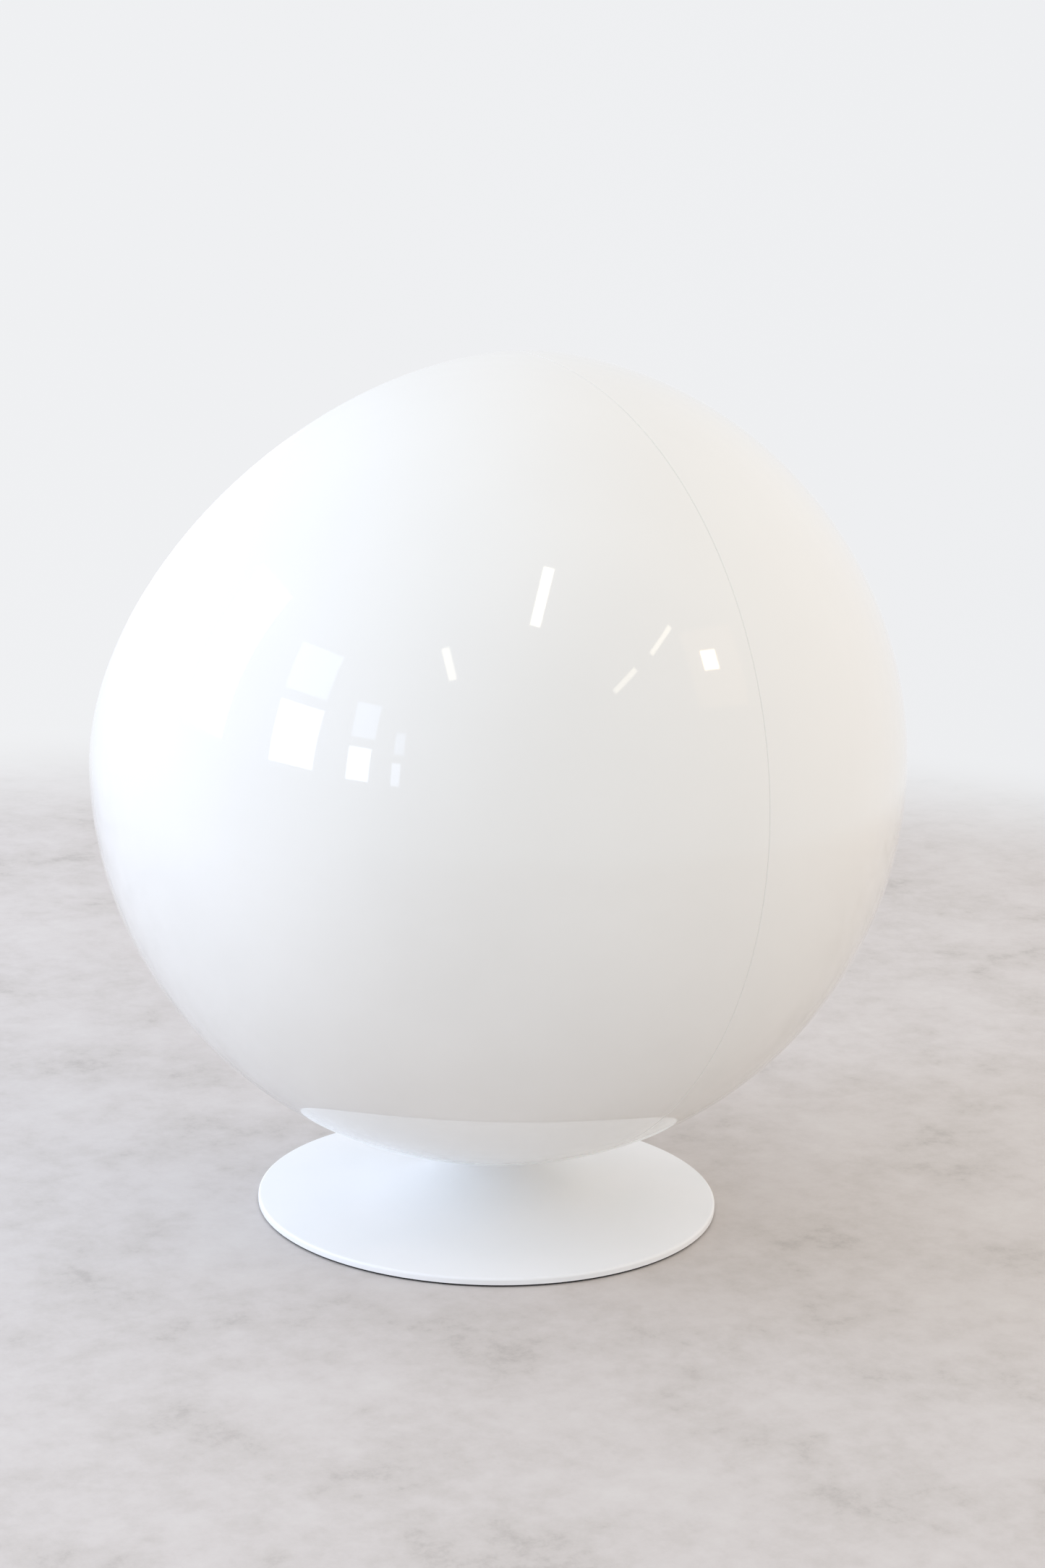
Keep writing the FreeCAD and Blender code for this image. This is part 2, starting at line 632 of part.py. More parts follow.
circlip_gap = block("CirclipGap", ("0", "circlip_outer * 2"),
                    ("-race_wall / 2", "race_wall / 2"), ("bearing_top", "housing_top + 1"))
node(cut("Circlip", ring("CirclipRing", "circlip_outer", "bearing_outer_radius - circlip_cover",
                         "bearing_top + running_gap", "bearing_top + running_gap + circlip_thickness"),
         circlip_gap), "bearing_circlip")
node(ring("LowerBush", "bush_radius", "journal_radius + running_gap", "bush_bottom",
          "bush_top"), "lower_bush")

# ---------------------------------------------------------------------------------------------
# The housing that stands on the ballast plate
# ---------------------------------------------------------------------------------------------
def screw_places():
    """Name and place of each screw that holds the housing to the ballast plate."""
    return [(number, *polar("housing_bolt_circle", number, HOUSING_SCREWS))
            for number in range(HOUSING_SCREWS)]


def housing_screws(owner, extra, low, high):
    """Countersunk screws put in from below, or the holes for them."""
    made = []
    for number, x, y in screw_places():
        shank = disc(f"{owner}Shank{number}", f"housing_screw_radius + {extra}", low, high, x, y)
        head = bind(doc.addObject("Part::Cone", f"{owner}Head{number}"),
                    Radius1=f"housing_screw_head_radius + {extra}",
                    Radius2=f"housing_screw_radius + {extra}", Height="housing_screw_head_height",
                    Placement__Base__x=x, Placement__Base__y=y,
                    Placement__Base__z="floor_ring_thickness")
        made.append(fuse(f"{owner}{number}", shank, head))
    return made


housing_blank = fuse("HousingBlank",
                     disc("HousingTube", "housing_radius", "ballast_top", "housing_top"),
                     disc("HousingFlange", "housing_bolt_circle + housing_flange_edge",
                          "ballast_top", "flange_top"))
screw_tip = "ballast_top + housing_screw_engagement"
node(cut("BearingHousing", housing_blank,
         disc("NutPocket", "nut_pocket_radius", "ballast_top - 1", "bush_bottom"),
         disc("BushSeat", "bush_radius + seat_gap", "bush_bottom - 1", "bush_top"),
         disc("HousingBore", "bearing_outer_radius - race_wall", "bush_top", "bearing_bottom"),
         disc("BearingSeat", "bearing_outer_radius + seat_gap", "bearing_bottom", "housing_top + 1"),
         disc("CirclipGroove", "circlip_outer + thread_clearance", "bearing_top",
              "bearing_top + circlip_thickness + 3 * running_gap"),
         *[disc(f"HousingTap{number}", "housing_screw_radius + thread_clearance", "ballast_top - 1",
                f"{screw_tip} + thread_clearance", x, y) for number, x, y in screw_places()]),
     "bearing_housing")
node(group("HousingScrews", housing_screws("HousingScrew", "0", "floor_ring_thickness", screw_tip)),
     "housing_screws")
node(ring("DustSeal", "bearing_outer_radius + seal_step + seal_wall",
          "bearing_outer_radius + seal_step", "housing_top",
          "saddle_bottom - seal_gap"), "dust_seal")


def set_screws(owner, extra, depth):
    """Set screws that press the centring ring on the housing, or the holes for them."""
    start = "(housing_radius + thread_clearance)"
    return [radial_disc(f"{owner}{turn}", f"set_screw_radius + {extra}", start,
                        f"neck_inner_radius - {depth}", "ring_top - ring_height / 2",
                        360.0 * turn / SET_SCREWS + 30.0) for turn in range(SET_SCREWS)]


node(cut("CenteringRing", ring("CenteringBlank", "neck_inner_radius - bond_gap",
                               "housing_radius + thread_clearance", "ring_top - ring_height",
                               "ring_top"), *set_screws("SetScrewHole", "thread_clearance", "-bond_gap")),
     "centering_ring")
node(group("SetScrews", set_screws("SetScrew", "0", "set_screw_depth")), "set_screws")

# ---------------------------------------------------------------------------------------------
# The pedestal: a spun trumpet over a steel ballast plate, on a rubber floor ring
# ---------------------------------------------------------------------------------------------
node(ring("FloorRing", "floor_ring_radius", "floor_ring_radius - floor_ring_width", "0",
          "floor_ring_thickness"),
     "floor_ring")
node(cut("BallastPlate", ring("BallastBlank", "ballast_radius", "nut_pocket_radius + ballast_hole_gap",
                              "floor_ring_thickness", "ballast_top"),
         *housing_screws("BallastHole", "thread_clearance", "floor_ring_thickness - 1",
                         "ballast_top + 1")), "ballast_plate")


def flare(neck, top, foot, level, slope):
    """A smooth curve that leaves the neck straight down and runs out along the pedestal's skirt."""
    easing = 0.55
    reach = easing * (foot - neck)
    poles = [(neck, top), (neck, top - easing * (top - level)), (foot - reach, level + slope * reach),
             (foot, level)]
    curve = Part.BezierCurve()
    curve.setPoles([FreeCAD.Vector(r, 0, z) for r, z in poles])
    return curve.toShape()


def straight(*points):
    """Straight edges through (radius, height) points."""
    corners = [FreeCAD.Vector(r, 0, z) for r, z in points]
    return [Part.makeLine(a, b) for a, b in zip(corners, corners[1:])]


wall = measure("pedestal_wall")
radius = measure("pedestal_radius")
foot_z = measure("floor_ring_thickness")
edge_z = measure("floor_ring_thickness + pedestal_edge_height")
rounded = measure("pedestal_edge_rounding")
skirt_top = edge_z + rounded
flare_r = measure("pedestal_flare_radius")
flare_z = measure("pedestal_flare_height")
neck_r = measure("pedestal_neck_radius")
neck_z = measure("ball_bottom + pedestal_neck_rise")
skirt_slope = (flare_z - skirt_top) / (radius - rounded - flare_r)
halfway = rounded * (1 - math.sqrt(0.5))
edge_arc = Part.Arc(FreeCAD.Vector(radius - rounded, 0, skirt_top),
                    FreeCAD.Vector(radius - halfway, 0, skirt_top - halfway),
                    FreeCAD.Vector(radius, 0, edge_z)).toShape()
profile = [
    flare(neck_r, neck_z, flare_r, flare_z, skirt_slope),
    *straight((flare_r, flare_z), (radius - rounded, skirt_top)),
    edge_arc,
    *straight((radius, edge_z), (radius, foot_z), (radius - wall, foot_z),
              (radius - wall, skirt_top - wall), (flare_r, flare_z - wall)),
    flare(neck_r - wall, neck_z, flare_r, flare_z - wall, skirt_slope),
    *straight((neck_r - wall, neck_z), (neck_r, neck_z)),
]
outline = Part.Wire(Part.__sortEdges__(profile))
trumpet = doc.addObject("Part::Feature", "PedestalTrumpet")
trumpet.Shape = Part.Face(outline).revolve(FreeCAD.Vector(), FreeCAD.Vector(0, 0, 1), 360)
trumpet.Placement = FreeCAD.Placement()
node(trumpet, "pedestal_trumpet")

# ---------------------------------------------------------------------------------------------
# Check every object, then write one file for each sub-part
# ---------------------------------------------------------------------------------------------
doc.recompute()
failed = [item.Name for item in doc.Objects if {"Invalid", "Error"} & set(item.State)]
if failed:
    raise RuntimeError(f"these objects failed to build: {failed}")
for item in nodes:
    shape = item.Shape
    if shape.isNull() or not shape.isValid() or not shape.Solids:
        raise RuntimeError(f"{item.Label} has no valid solid")
    print(f"{item.Label:20s} {len(shape.Solids):2d} solids {shape.Volume / 1000:10.1f} cm3")
for item in nodes:
    item.Shape.exportStep(f"parts/{item.Label}.step")
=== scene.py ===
"""Looks of a globe lounge chair: a polished gelcoat ball lined in wool, on a satin white trumpet pedestal.

Metres, +Z up, origin on the floor at the swivel axis, the opening faces -Y.
"""

import json
import logging
import math
from dataclasses import dataclass, field
from enum import Enum

import bmesh
import bpy
import numpy as np
from mathutils import Matrix, Quaternion, Vector


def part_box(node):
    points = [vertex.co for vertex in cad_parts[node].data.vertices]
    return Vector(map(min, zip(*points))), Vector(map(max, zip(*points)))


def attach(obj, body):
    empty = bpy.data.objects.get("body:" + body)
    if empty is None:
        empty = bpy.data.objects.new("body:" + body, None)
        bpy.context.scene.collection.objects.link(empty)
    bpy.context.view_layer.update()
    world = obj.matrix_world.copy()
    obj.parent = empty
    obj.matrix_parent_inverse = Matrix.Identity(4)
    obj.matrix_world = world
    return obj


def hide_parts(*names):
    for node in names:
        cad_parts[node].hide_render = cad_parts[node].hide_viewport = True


Array = np.ndarray
Mesh = bpy.types.Mesh
Node = bpy.types.Node
Piece = bpy.types.Object
Socket = bpy.types.NodeSocket
Tree = bpy.types.NodeTree

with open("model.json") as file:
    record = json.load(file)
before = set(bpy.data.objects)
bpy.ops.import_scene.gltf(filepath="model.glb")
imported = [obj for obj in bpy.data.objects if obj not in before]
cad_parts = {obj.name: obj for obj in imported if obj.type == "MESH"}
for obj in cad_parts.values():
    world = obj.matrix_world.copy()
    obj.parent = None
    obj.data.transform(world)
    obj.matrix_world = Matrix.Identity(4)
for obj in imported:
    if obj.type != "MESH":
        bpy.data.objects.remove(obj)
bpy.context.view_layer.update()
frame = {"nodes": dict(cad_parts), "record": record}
MM = 0.001
SEAT_BODY = "seat"
CRISP = 50.0              # edges of moulded and cut pieces that turn by more, in degrees
TOUCH_GAP = 0.3 * MM      # between curved soft faces that lie against each other
CORD_PUCKER = 11 * MM     # from one pucker of a piped cord to the next
RING_POINTS = 240         # points round each ring of a cushion before it is blown up
WELD = 0.01 * MM          # points nearer than this are one
WELD_LIP = 0.002 * MM     # the same, where a lip's rows lie close together
WELD_FINE = 0.001 * MM    # the same, on a thin cord
UPRIGHT = np.array([0.0, 0.0, 1.0])
log = logging.getLogger("globe_chair")


# ---------------------------------------------------------------------------------------------
# Small tools
# ---------------------------------------------------------------------------------------------
def linear(hex_colour: str) -> tuple[float, float, float, float]:
    """Turn an sRGB hex colour into the linear colour that shaders use.

    Args:
        hex_colour: six hex digits, with or without a leading hash.

    Returns:
        Linear red, green, blue and an alpha of one.
    """
    digits = hex_colour.lstrip("#")
    parts = [int(digits[i:i + 2], 16) / 255 for i in (0, 2, 4)]
    return (*[p / 12.92 if p <= 0.04045 else ((p + 0.055) / 1.055) ** 2.4 for p in parts], 1.0)


def unit(vectors: Array) -> Array:
    """Scale each vector along the last axis to length one."""
    return vectors / np.maximum(np.linalg.norm(vectors, axis=-1, keepdims=True), 1e-12)


def smoothstep(x: Array) -> Array:
    """Rise smoothly from 0 to 1 as x does: three x squared less two x cubed."""
    x = np.clip(x, 0, 1)
    return x * x * (3 - 2 * x)


def bell(x: Array, middle: float, width: float) -> Array:
    """A bell curve of height one: e to the minus square of the distance over the width."""
    return np.exp(-((x - middle) / width) ** 2)


def full_turn(steps: int) -> Array:
    """Angles evenly round a circle, without the last, which would be the first again."""
    return np.linspace(0, 2 * np.pi, steps, endpoint=False)


def grid_faces(rows: int, columns: int, start: int = 0, wrap: bool = False) -> Array:
    """Quads of a grid of points numbered row by row.

    Args:
        rows: points down the grid.
        columns: points across the grid.
        start: number of the grid's first point.
        wrap: whether the last column joins the first.

    Returns:
        One row of four point numbers for each quad.
    """
    across = np.arange(columns if wrap else columns - 1)
    down = np.arange(rows - 1)
    i, j = np.meshgrid(down, across, indexing="ij")
    k = (j + 1) % columns
    quads = np.stack([i * columns + j, i * columns + k, (i + 1) * columns + k,
                      (i + 1) * columns + j], axis=-1)
    return quads.reshape(-1, 4) + start


def make_mesh(name: str, points: Array, quads: Array, polygons: list[list[int]] = (),
              merge: float = 0.0, sharp: float = 40.0) -> Piece:
    """Make an object from points and faces, closed up and turned outwards.

    Args:
        name: name of the object.
        points: N by 3 places.
        quads: N by 4 point numbers.
        polygons: other faces, such as caps.
        merge: distance within which points become one, or 0 for none.
        sharp: edges that turn by more than this many degrees stay crisp.

    Returns:
        The new object, at the origin, in the scene.
    """
    mesh = bpy.data.meshes.new(name)
    mesh.from_pydata(points.reshape(-1, 3).tolist(), [], quads.tolist() + list(polygons))
    if merge:
        build = bmesh.new()
        build.from_mesh(mesh)
        bmesh.ops.remove_doubles(build, verts=build.verts, dist=merge)
        bmesh.ops.recalc_face_normals(build, faces=build.faces)
        build.to_mesh(mesh)
        build.free()
    mesh.validate()
    mesh.shade_smooth()
    mesh.set_sharp_from_angle(angle=math.radians(sharp))
    item = bpy.data.objects.new(name, mesh)
    bpy.context.scene.collection.objects.link(item)
    return item


def tube(name: str, path: Array, radius: Array, sides: int = 14) -> Piece:
    """A closed loop of round tube: each section is a circle square to the path.

    Args:
        name: name of the object.
        path: N by 3 places round a closed loop.
        radius: radius of the tube at each place.
        sides: points round a section.

    Returns:
        The tube's object.
    """
    along = unit(np.roll(path, -1, 0) - np.roll(path, 1, 0))
    out = unit(np.cross(along, UPRIGHT))
    up = np.cross(out, along)
    turn = full_turn(sides)
    ring = np.cos(turn)[None, :, None] * out[:, None] + np.sin(turn)[None, :, None] * up[:, None]
    points = path[:, None] + radius[:, None, None] * ring
    points = np.concatenate([points, points[:1]])
    return make_mesh(name, points, grid_faces(len(points), sides, wrap=True), merge=WELD_FINE)


def read_points(mesh: Mesh) -> Array:
    """A mesh's points as an N by 3 array.

    Args:
        mesh: the mesh to read.

    Returns:
        One row for each point.
    """
    flat = np.empty(len(mesh.vertices) * 3)
    mesh.vertices.foreach_get("co", flat)
    return flat.reshape(-1, 3)


def write_points(mesh: Mesh, points: Array) -> None:
    """Put an N by 3 array back as a mesh's points."""
    mesh.vertices.foreach_set("co", points.ravel())
    mesh.update()


def apply_modifiers(item: Piece) -> None:
    """Make what an object's modifiers show its own mesh, and take them off.

    Args:
        item: the object.
    """
    shown = item.evaluated_get(bpy.context.evaluated_depsgraph_get())
    item.data = bpy.data.meshes.new_from_object(shown)
    item.modifiers.clear()


# ---------------------------------------------------------------------------------------------
# Finishes
# ---------------------------------------------------------------------------------------------
def add(tree: Tree, kind: str, settings: dict | None = None, **inputs) -> Node:
    """Add a shader node with its settings and what feeds it.

    Args:
        tree: the material's node tree.
        kind: the node's type, without the leading ShaderNode.
        settings: properties of the node; "stops" are a colour ramp's places and hex colours.
        inputs: a value or an output for each socket, with spaces in its name as underscores; a
            socket that shares its name with others is given by number, as in in_6.

    Returns:
        The new node.
    """
    node = tree.nodes.new("ShaderNode" + kind)
    settings = dict(settings or {})
    stops = settings.pop("stops", [])
    while len(stops) > len(node.color_ramp.elements if stops else ()):
        node.color_ramp.elements.new(0.5)
    for number, (place, colour) in enumerate(stops):
        node.color_ramp.elements[number].position = place
        node.color_ramp.elements[number].color = linear(colour)
    for name, setting in settings.items():
        setattr(node, name, setting)
    for name, source in inputs.items():
        key = int(name[3:]) if name.startswith("in_") else name.replace("_", " ")
        if isinstance(source, Socket):
            tree.links.new(source, node.inputs[key])
        else:
            node.inputs[key].default_value = source
    return node


def per_metre(size_mm: float) -> float:
    """Scale of a texture whose features are this many millimetres across."""
    return 1.0 / (size_mm * MM)


class Grain(Enum):
    """Which tool marks a metal shows: rings about the swivel axis, or none."""

    LATHE = "LATHE"
    NONE = "NONE"


@dataclass(frozen=True)
class Finish:
    """A finish: what a surface is made of, and how that is drawn.

    Args:
        name: the finish's common name and how it is made.
        colour: main colour, sRGB hex.
        shadow: the darker colour it varies to.
        roughness: from mirror-like 0 to dull 1.
        metallic: 1 for bare metal.
    """

    name: str
    colour: str
    shadow: str
    roughness: float
    metallic: float = 0.0

    def material(self) -> bpy.types.Material:
        """Make the material, or give the one made before.

        Returns:
            The material, with the finish's own pattern on it.
        """
        found = bpy.data.materials.get(self.name)
        if found:
            return found
        made = bpy.data.materials.new(self.name)
        made.use_nodes = True
        tree = made.node_tree
        tree.nodes.clear()
        out = add(tree, "OutputMaterial")
        skin = add(tree, "BsdfPrincipled", Roughness=self.roughness, Metallic=self.metallic,
                   Base_Color=linear(self.colour))
        tree.links.new(skin.outputs["BSDF"], out.inputs["Surface"])
        self.dress(tree, skin, add(tree, "TexCoord").outputs["Object"])
        made.diffuse_color = linear(self.colour)
        return made

    def dress(self, tree: Tree, skin: Node, place: Socket) -> None:
        """Lay the finish's own pattern over the plain shader.

        Args:
            tree: the material's node tree.
            skin: the plain shader.
            place: where on the piece a point lies.
        """
        raise NotImplementedError

    def tint(self, tree: Tree, skin: Node, fac: Socket, low: float, high: float) -> None:
        """Vary the colour from shadow to main.

        Args:
            tree: the material's node tree.
            skin: the shader whose colour is set.
            fac: the pattern to follow.
            low: the pattern's level at which the colour is all shadow.
            high: the pattern's level at which it is all main colour.
        """
        stops = sorted([(low, self.shadow), (high, self.colour)])
        colour = add(tree, "ValToRGB", {"stops": stops}, Fac=fac)
        tree.links.new(colour.outputs["Color"], skin.inputs["Base Color"])

    def wear(self, tree: Tree, skin: Node, fac: Socket, span: tuple[float, float],
             shares: tuple[float, float]) -> None:
        """Vary the roughness.

        Args:
            tree: the material's node tree.
            skin: the shader whose roughness is set.
            fac: the pattern to follow.
            span: the pattern's levels between which the roughness changes.
            shares: shares of the finish's roughness at those two levels.
        """
        rough = add(tree, "MapRange", Value=fac, From_Min=span[0], From_Max=span[1],
                    To_Min=self.roughness * shares[0], To_Max=self.roughness * shares[1])
        tree.links.new(rough.outputs["Result"], skin.inputs["Roughness"])

    def bump(self, tree: Tree, skin: Node, height: Socket, depth_mm: float,
             under: Socket | None = None) -> Socket:
        """Raise a pattern.

        Args:
            tree: the material's node tree.
            skin: the shader that the bump is laid on.
            height: the pattern.
            depth_mm: how high it stands, in millimetres.
            under: another bump that it lies on.

        Returns:
            The raised surface's normal, for a bump on top of this one.
        """
        node = add(tree, "Bump", Height=height, Distance=depth_mm * MM, Strength=1.0)
        if under is not None:
            tree.links.new(under, node.inputs["Normal"])
        tree.links.new(node.outputs["Normal"], skin.inputs["Normal"])
        return node.outputs["Normal"]


@dataclass(frozen=True)
class PolishedGelcoat(Finish):
    """White gelcoat, polished out of the mould: a deep hard gloss whose reflections waver a
    little, because the glass-fibre wall behind it is not perfectly true."""

    def dress(self, tree: Tree, skin: Node, place: Socket) -> None:
        """Faint clouding, slow waviness and fine polishing haze.

        Args:
            tree: the material's node tree.
            skin: the plain shader.
            place: where on the piece a point lies.
        """
        cloud = add(tree, "TexNoise", Vector=place, Scale=per_metre(260), Detail=2.0)
        self.tint(tree, skin, cloud.outputs["Fac"], 0.3, 0.7)
        wave = add(tree, "TexNoise", Vector=place, Scale=per_metre(170), Detail=0.0)
        self.bump(tree, skin, wave.outputs["Fac"], 0.12)
        haze = add(tree, "TexNoise", Vector=place, Scale=per_metre(60), Detail=5.0, Roughness=0.7)
        self.wear(tree, skin, haze.outputs["Fac"], (0.35, 0.75), (1.0, 1.5))
        skin.inputs["IOR"].default_value = 1.56
        skin.inputs["Coat Weight"].default_value = 0.6
        skin.inputs["Coat Roughness"].default_value = 0.02


@dataclass(frozen=True)
class PowderCoat(Finish):
    """Satin powder coat baked on spun metal: an even soft sheen with a fine orange peel."""

    peel_mm: float = 2.2

    def dress(self, tree: Tree, skin: Node, place: Socket) -> None:
        """Orange peel, faint clouding and a little scuffing.

        Args:
            tree: the material's node tree.
            skin: the plain shader.
            place: where on the piece a point lies.
        """
        cloud = add(tree, "TexNoise", Vector=place, Scale=per_metre(120), Detail=3.0)
        self.tint(tree, skin, cloud.outputs["Fac"], 0.3, 0.7)
        peel = add(tree, "TexNoise", Vector=place, Scale=per_metre(self.peel_mm), Detail=1.5)
        self.bump(tree, skin, peel.outputs["Fac"], 0.018)
        scuff = add(tree, "TexNoise", Vector=place, Scale=per_metre(35), Detail=6.0, Roughness=0.75)
        self.wear(tree, skin, scuff.outputs["Fac"], (0.3, 0.75), (0.9, 1.25))


@dataclass(frozen=True)
class WoolFelt(Finish):
    """Milled wool upholstery cloth: matt, with a soft halo at grazing angles, short matted
    fibres and a faint melange of lighter and darker hairs."""

    fibre_mm: float = 1.4

    def dress(self, tree: Tree, skin: Node, place: Socket) -> None:
        """Matted fibres at two sizes over slow clouding of the dye.

        The fibres of the real cloth are under a tenth of a millimetre, too fine to show, so
        they are drawn as bundles of about a millimetre.

        Args:
            tree: the material's node tree.
            skin: the plain shader.
            place: where on the piece a point lies.
        """
        stretch = add(tree, "Mapping", Vector=place)
        stretch.inputs["Rotation"].default_value = (0.6, 0.4, 0.9)
        stretch.inputs["Scale"].default_value = (1.0, 2.6, 1.6)
        hairs = add(tree, "TexNoise", Vector=stretch.outputs["Vector"],
                    Scale=per_metre(self.fibre_mm), Detail=6.0, Roughness=0.72, Distortion=0.6)
        cloud = add(tree, "TexNoise", Vector=place, Scale=per_metre(45), Detail=3.0)
        both = add(tree, "Mix", {"data_type": "FLOAT"}, Factor=0.12, in_2=hairs.outputs["Fac"],
                   in_3=cloud.outputs["Fac"])
        self.tint(tree, skin, both.outputs["Result"], 0.3, 0.68)
        pills = add(tree, "TexVoronoi", {"feature": "SMOOTH_F1"}, Vector=place,
                    Scale=per_metre(self.fibre_mm * 3), Randomness=1.0)
        under = self.bump(tree, skin, pills.outputs["Distance"], 0.10)
        self.bump(tree, skin, hairs.outputs["Fac"], 0.35, under)
        skin.inputs["Sheen Weight"].default_value = 0.45
        skin.inputs["Sheen Roughness"].default_value = 0.45
        skin.inputs["Sheen Tint"].default_value = linear("#B9BCC2")
        skin.inputs["Specular IOR Level"].default_value = 0.25


@dataclass(frozen=True)
class TurnedMetal(Finish):
    """Metal turned on a lathe, ground or plated: fine rings about the swivel axis stretch its
    highlights, and slight staining makes them uneven."""

    grain: Grain = Grain.LATHE
    ring_mm: float = 0.8

    def dress(self, tree: Tree, skin: Node, place: Socket) -> None:
        """Tool marks, and slight staining in the roughness.

        Args:
            tree: the material's node tree.
            skin: the plain shader.
            place: where on the piece a point lies.
        """
        stain = add(tree, "TexNoise", Vector=place, Scale=per_metre(14), Detail=4.0)
        self.tint(tree, skin, stain.outputs["Fac"], 0.32, 0.66)
        if self.grain is Grain.LATHE:
            split = add(tree, "SeparateXYZ", Vector=place)
            flat = add(tree, "CombineXYZ", X=split.outputs["X"], Y=split.outputs["Y"])
            reach = add(tree, "VectorMath", {"operation": "LENGTH"}, Vector=flat.outputs["Vector"])
            line = add(tree, "CombineXYZ", X=reach.outputs["Value"], Y=split.outputs["Z"])
            marks = add(tree, "TexNoise", Vector=line.outputs["Vector"],
                        Scale=per_metre(self.ring_mm), Detail=3.0)
            self.bump(tree, skin, marks.outputs["Fac"], 0.02)
        self.wear(tree, skin, stain.outputs["Fac"], (0.3, 0.7), (0.8, 1.3))


@dataclass(frozen=True)
class Plywood(Finish):
    """Birch plywood, sealed: long pale grain, with darker bands where the plies show."""

    ply_mm: float = 1.5

    def dress(self, tree: Tree, skin: Node, place: Socket) -> None:
        """Grain stretched along the board, with ply bands across its thickness.

        Args:
            tree: the material's node tree.
            skin: the plain shader.
            place: where on the piece a point lies.
        """
        long = add(tree, "Mapping", Vector=place)
        long.inputs["Scale"].default_value = (1.0, 14.0, 14.0)
        grain = add(tree, "TexNoise", Vector=long.outputs["Vector"], Scale=per_metre(55),
                    Detail=6.0, Roughness=0.6, Distortion=0.8)
        plies = add(tree, "TexWave", {"wave_type": "BANDS", "bands_direction": "Z"}, Vector=place,
                    Scale=per_metre(self.ply_mm * 20), Distortion=0.4)
        both = add(tree, "Mix", {"data_type": "FLOAT"}, Factor=0.25, in_2=grain.outputs["Fac"],
                   in_3=plies.outputs["Fac"])
        self.tint(tree, skin, both.outputs["Result"], 0.35, 0.6)
        self.bump(tree, skin, grain.outputs["Fac"], 0.05)


@dataclass(frozen=True)
class GlassLaminate(Finish):
    """Hand-laid glass fibre in clear resin: a greenish straw mat of crossing strands."""

    def dress(self, tree: Tree, skin: Node, place: Socket) -> None:
        """Strands as cells, darker and lower at their edges.

        Args:
            tree: the material's node tree.
            skin: the plain shader.
            place: where on the piece a point lies.
        """
        strands = add(tree, "TexVoronoi", {"feature": "DISTANCE_TO_EDGE"}, Vector=place,
                      Scale=per_metre(6), Randomness=1.0)
        self.tint(tree, skin, strands.outputs["Distance"], 0.0, 0.25)
        self.bump(tree, skin, strands.outputs["Distance"], 0.25)


@dataclass(frozen=True)
class MouldedRubber(Finish):
    """Black moulded rubber: dull, faintly dusty, with a fine moulded grain."""

    def dress(self, tree: Tree, skin: Node, place: Socket) -> None:
        """Dust in the colour, fine grain in the bump.

        Args:
            tree: the material's node tree.
            skin: the plain shader.
            place: where on the piece a point lies.
        """
        dust = add(tree, "TexNoise", Vector=place, Scale=per_metre(18), Detail=6.0)
        self.tint(tree, skin, dust.outputs["Fac"], 0.7, 0.45)
        grain = add(tree, "TexVoronoi", Vector=place, Scale=per_metre(1.2))
        self.bump(tree, skin, grain.outputs["Distance"], 0.05)


@dataclass(frozen=True)
class HookTape(Finish):
    """Woven hook tape: rows of tiny stiff hooks on a black ribbon."""

    def dress(self, tree: Tree, skin: Node, place: Socket) -> None:
        """Rows of hooks 1.5 mm apart.

        Args:
            tree: the material's node tree.
            skin: the plain shader.
            place: where on the piece a point lies.
        """
        hooks = add(tree, "TexVoronoi", Vector=place, Scale=per_metre(1.5), Randomness=0.15)
        self.tint(tree, skin, hooks.outputs["Distance"], 0.6, 0.2)
        self.bump(tree, skin, hooks.outputs["Distance"], 0.4)


GELCOAT = PolishedGelcoat("polished_white_gelcoat", "#F4F3EF", "#F1F0EC", 0.035)
POWDER = PowderCoat("satin_white_powder_coat", "#FBFCFD", "#F7F9FA", 0.4)
LINING = WoolFelt("grey_wool_felt", "#83878E", "#5F636A", 0.95)
CUSHION = WoolFelt("grey_wool_cushion_cloth", "#83878E", "#5F636A", 0.95, fibre_mm=1.3)
PIPING = WoolFelt("charcoal_wool_piping", "#4B4E54", "#33363B", 0.92, fibre_mm=1.0)
THREAD = WoolFelt("bonded_nylon_thread", "#5A5D63", "#43464B", 0.55, fibre_mm=0.6)
PLYWOOD = Plywood("sealed_birch_plywood", "#D9BC8C", "#B8925F", 0.5)
LAMINATE = GlassLaminate("glass_fibre_laminate", "#C9C8A6", "#A7A681", 0.35)
PRIMED = PowderCoat("black_primed_steel", "#2A2B2D", "#1E1F20", 0.5)
GROUND = TurnedMetal("ground_bearing_steel", "#B9BABC", "#9FA1A4", 0.24, 1.0)
ZINC = TurnedMetal("zinc_plated_steel", "#C4C8CE", "#9EA6A8", 0.3, 1.0, Grain.NONE)
BALLS = TurnedMetal("polished_ball_steel", "#D8D9DB", "#C6C8CB", 0.06, 1.0, Grain.NONE)
SPRING = TurnedMetal("phosphated_spring_steel", "#4A4A4C", "#343436", 0.45, 1.0, Grain.NONE)
BRONZE = TurnedMetal("sintered_bronze", "#B08648", "#8C6834", 0.42, 1.0)
ALUMINIUM = TurnedMetal("turned_cast_aluminium", "#B4B6B8", "#9C9EA1", 0.38, 1.0)
NYLON = PowderCoat("glass_filled_nylon", "#C9BB93", "#B5A67C", 0.45)
RUBBER = MouldedRubber("black_moulded_rubber", "#19191A", "#2C2B2A", 0.8)
HOOKS = HookTape("black_hook_tape", "#232324", "#0F0F10", 0.7)
STAINED = Plywood("black_stained_plywood", "#34302C", "#292622", 0.55)
NODE_FINISH: dict[str, Finish] = {"deck_board": STAINED}
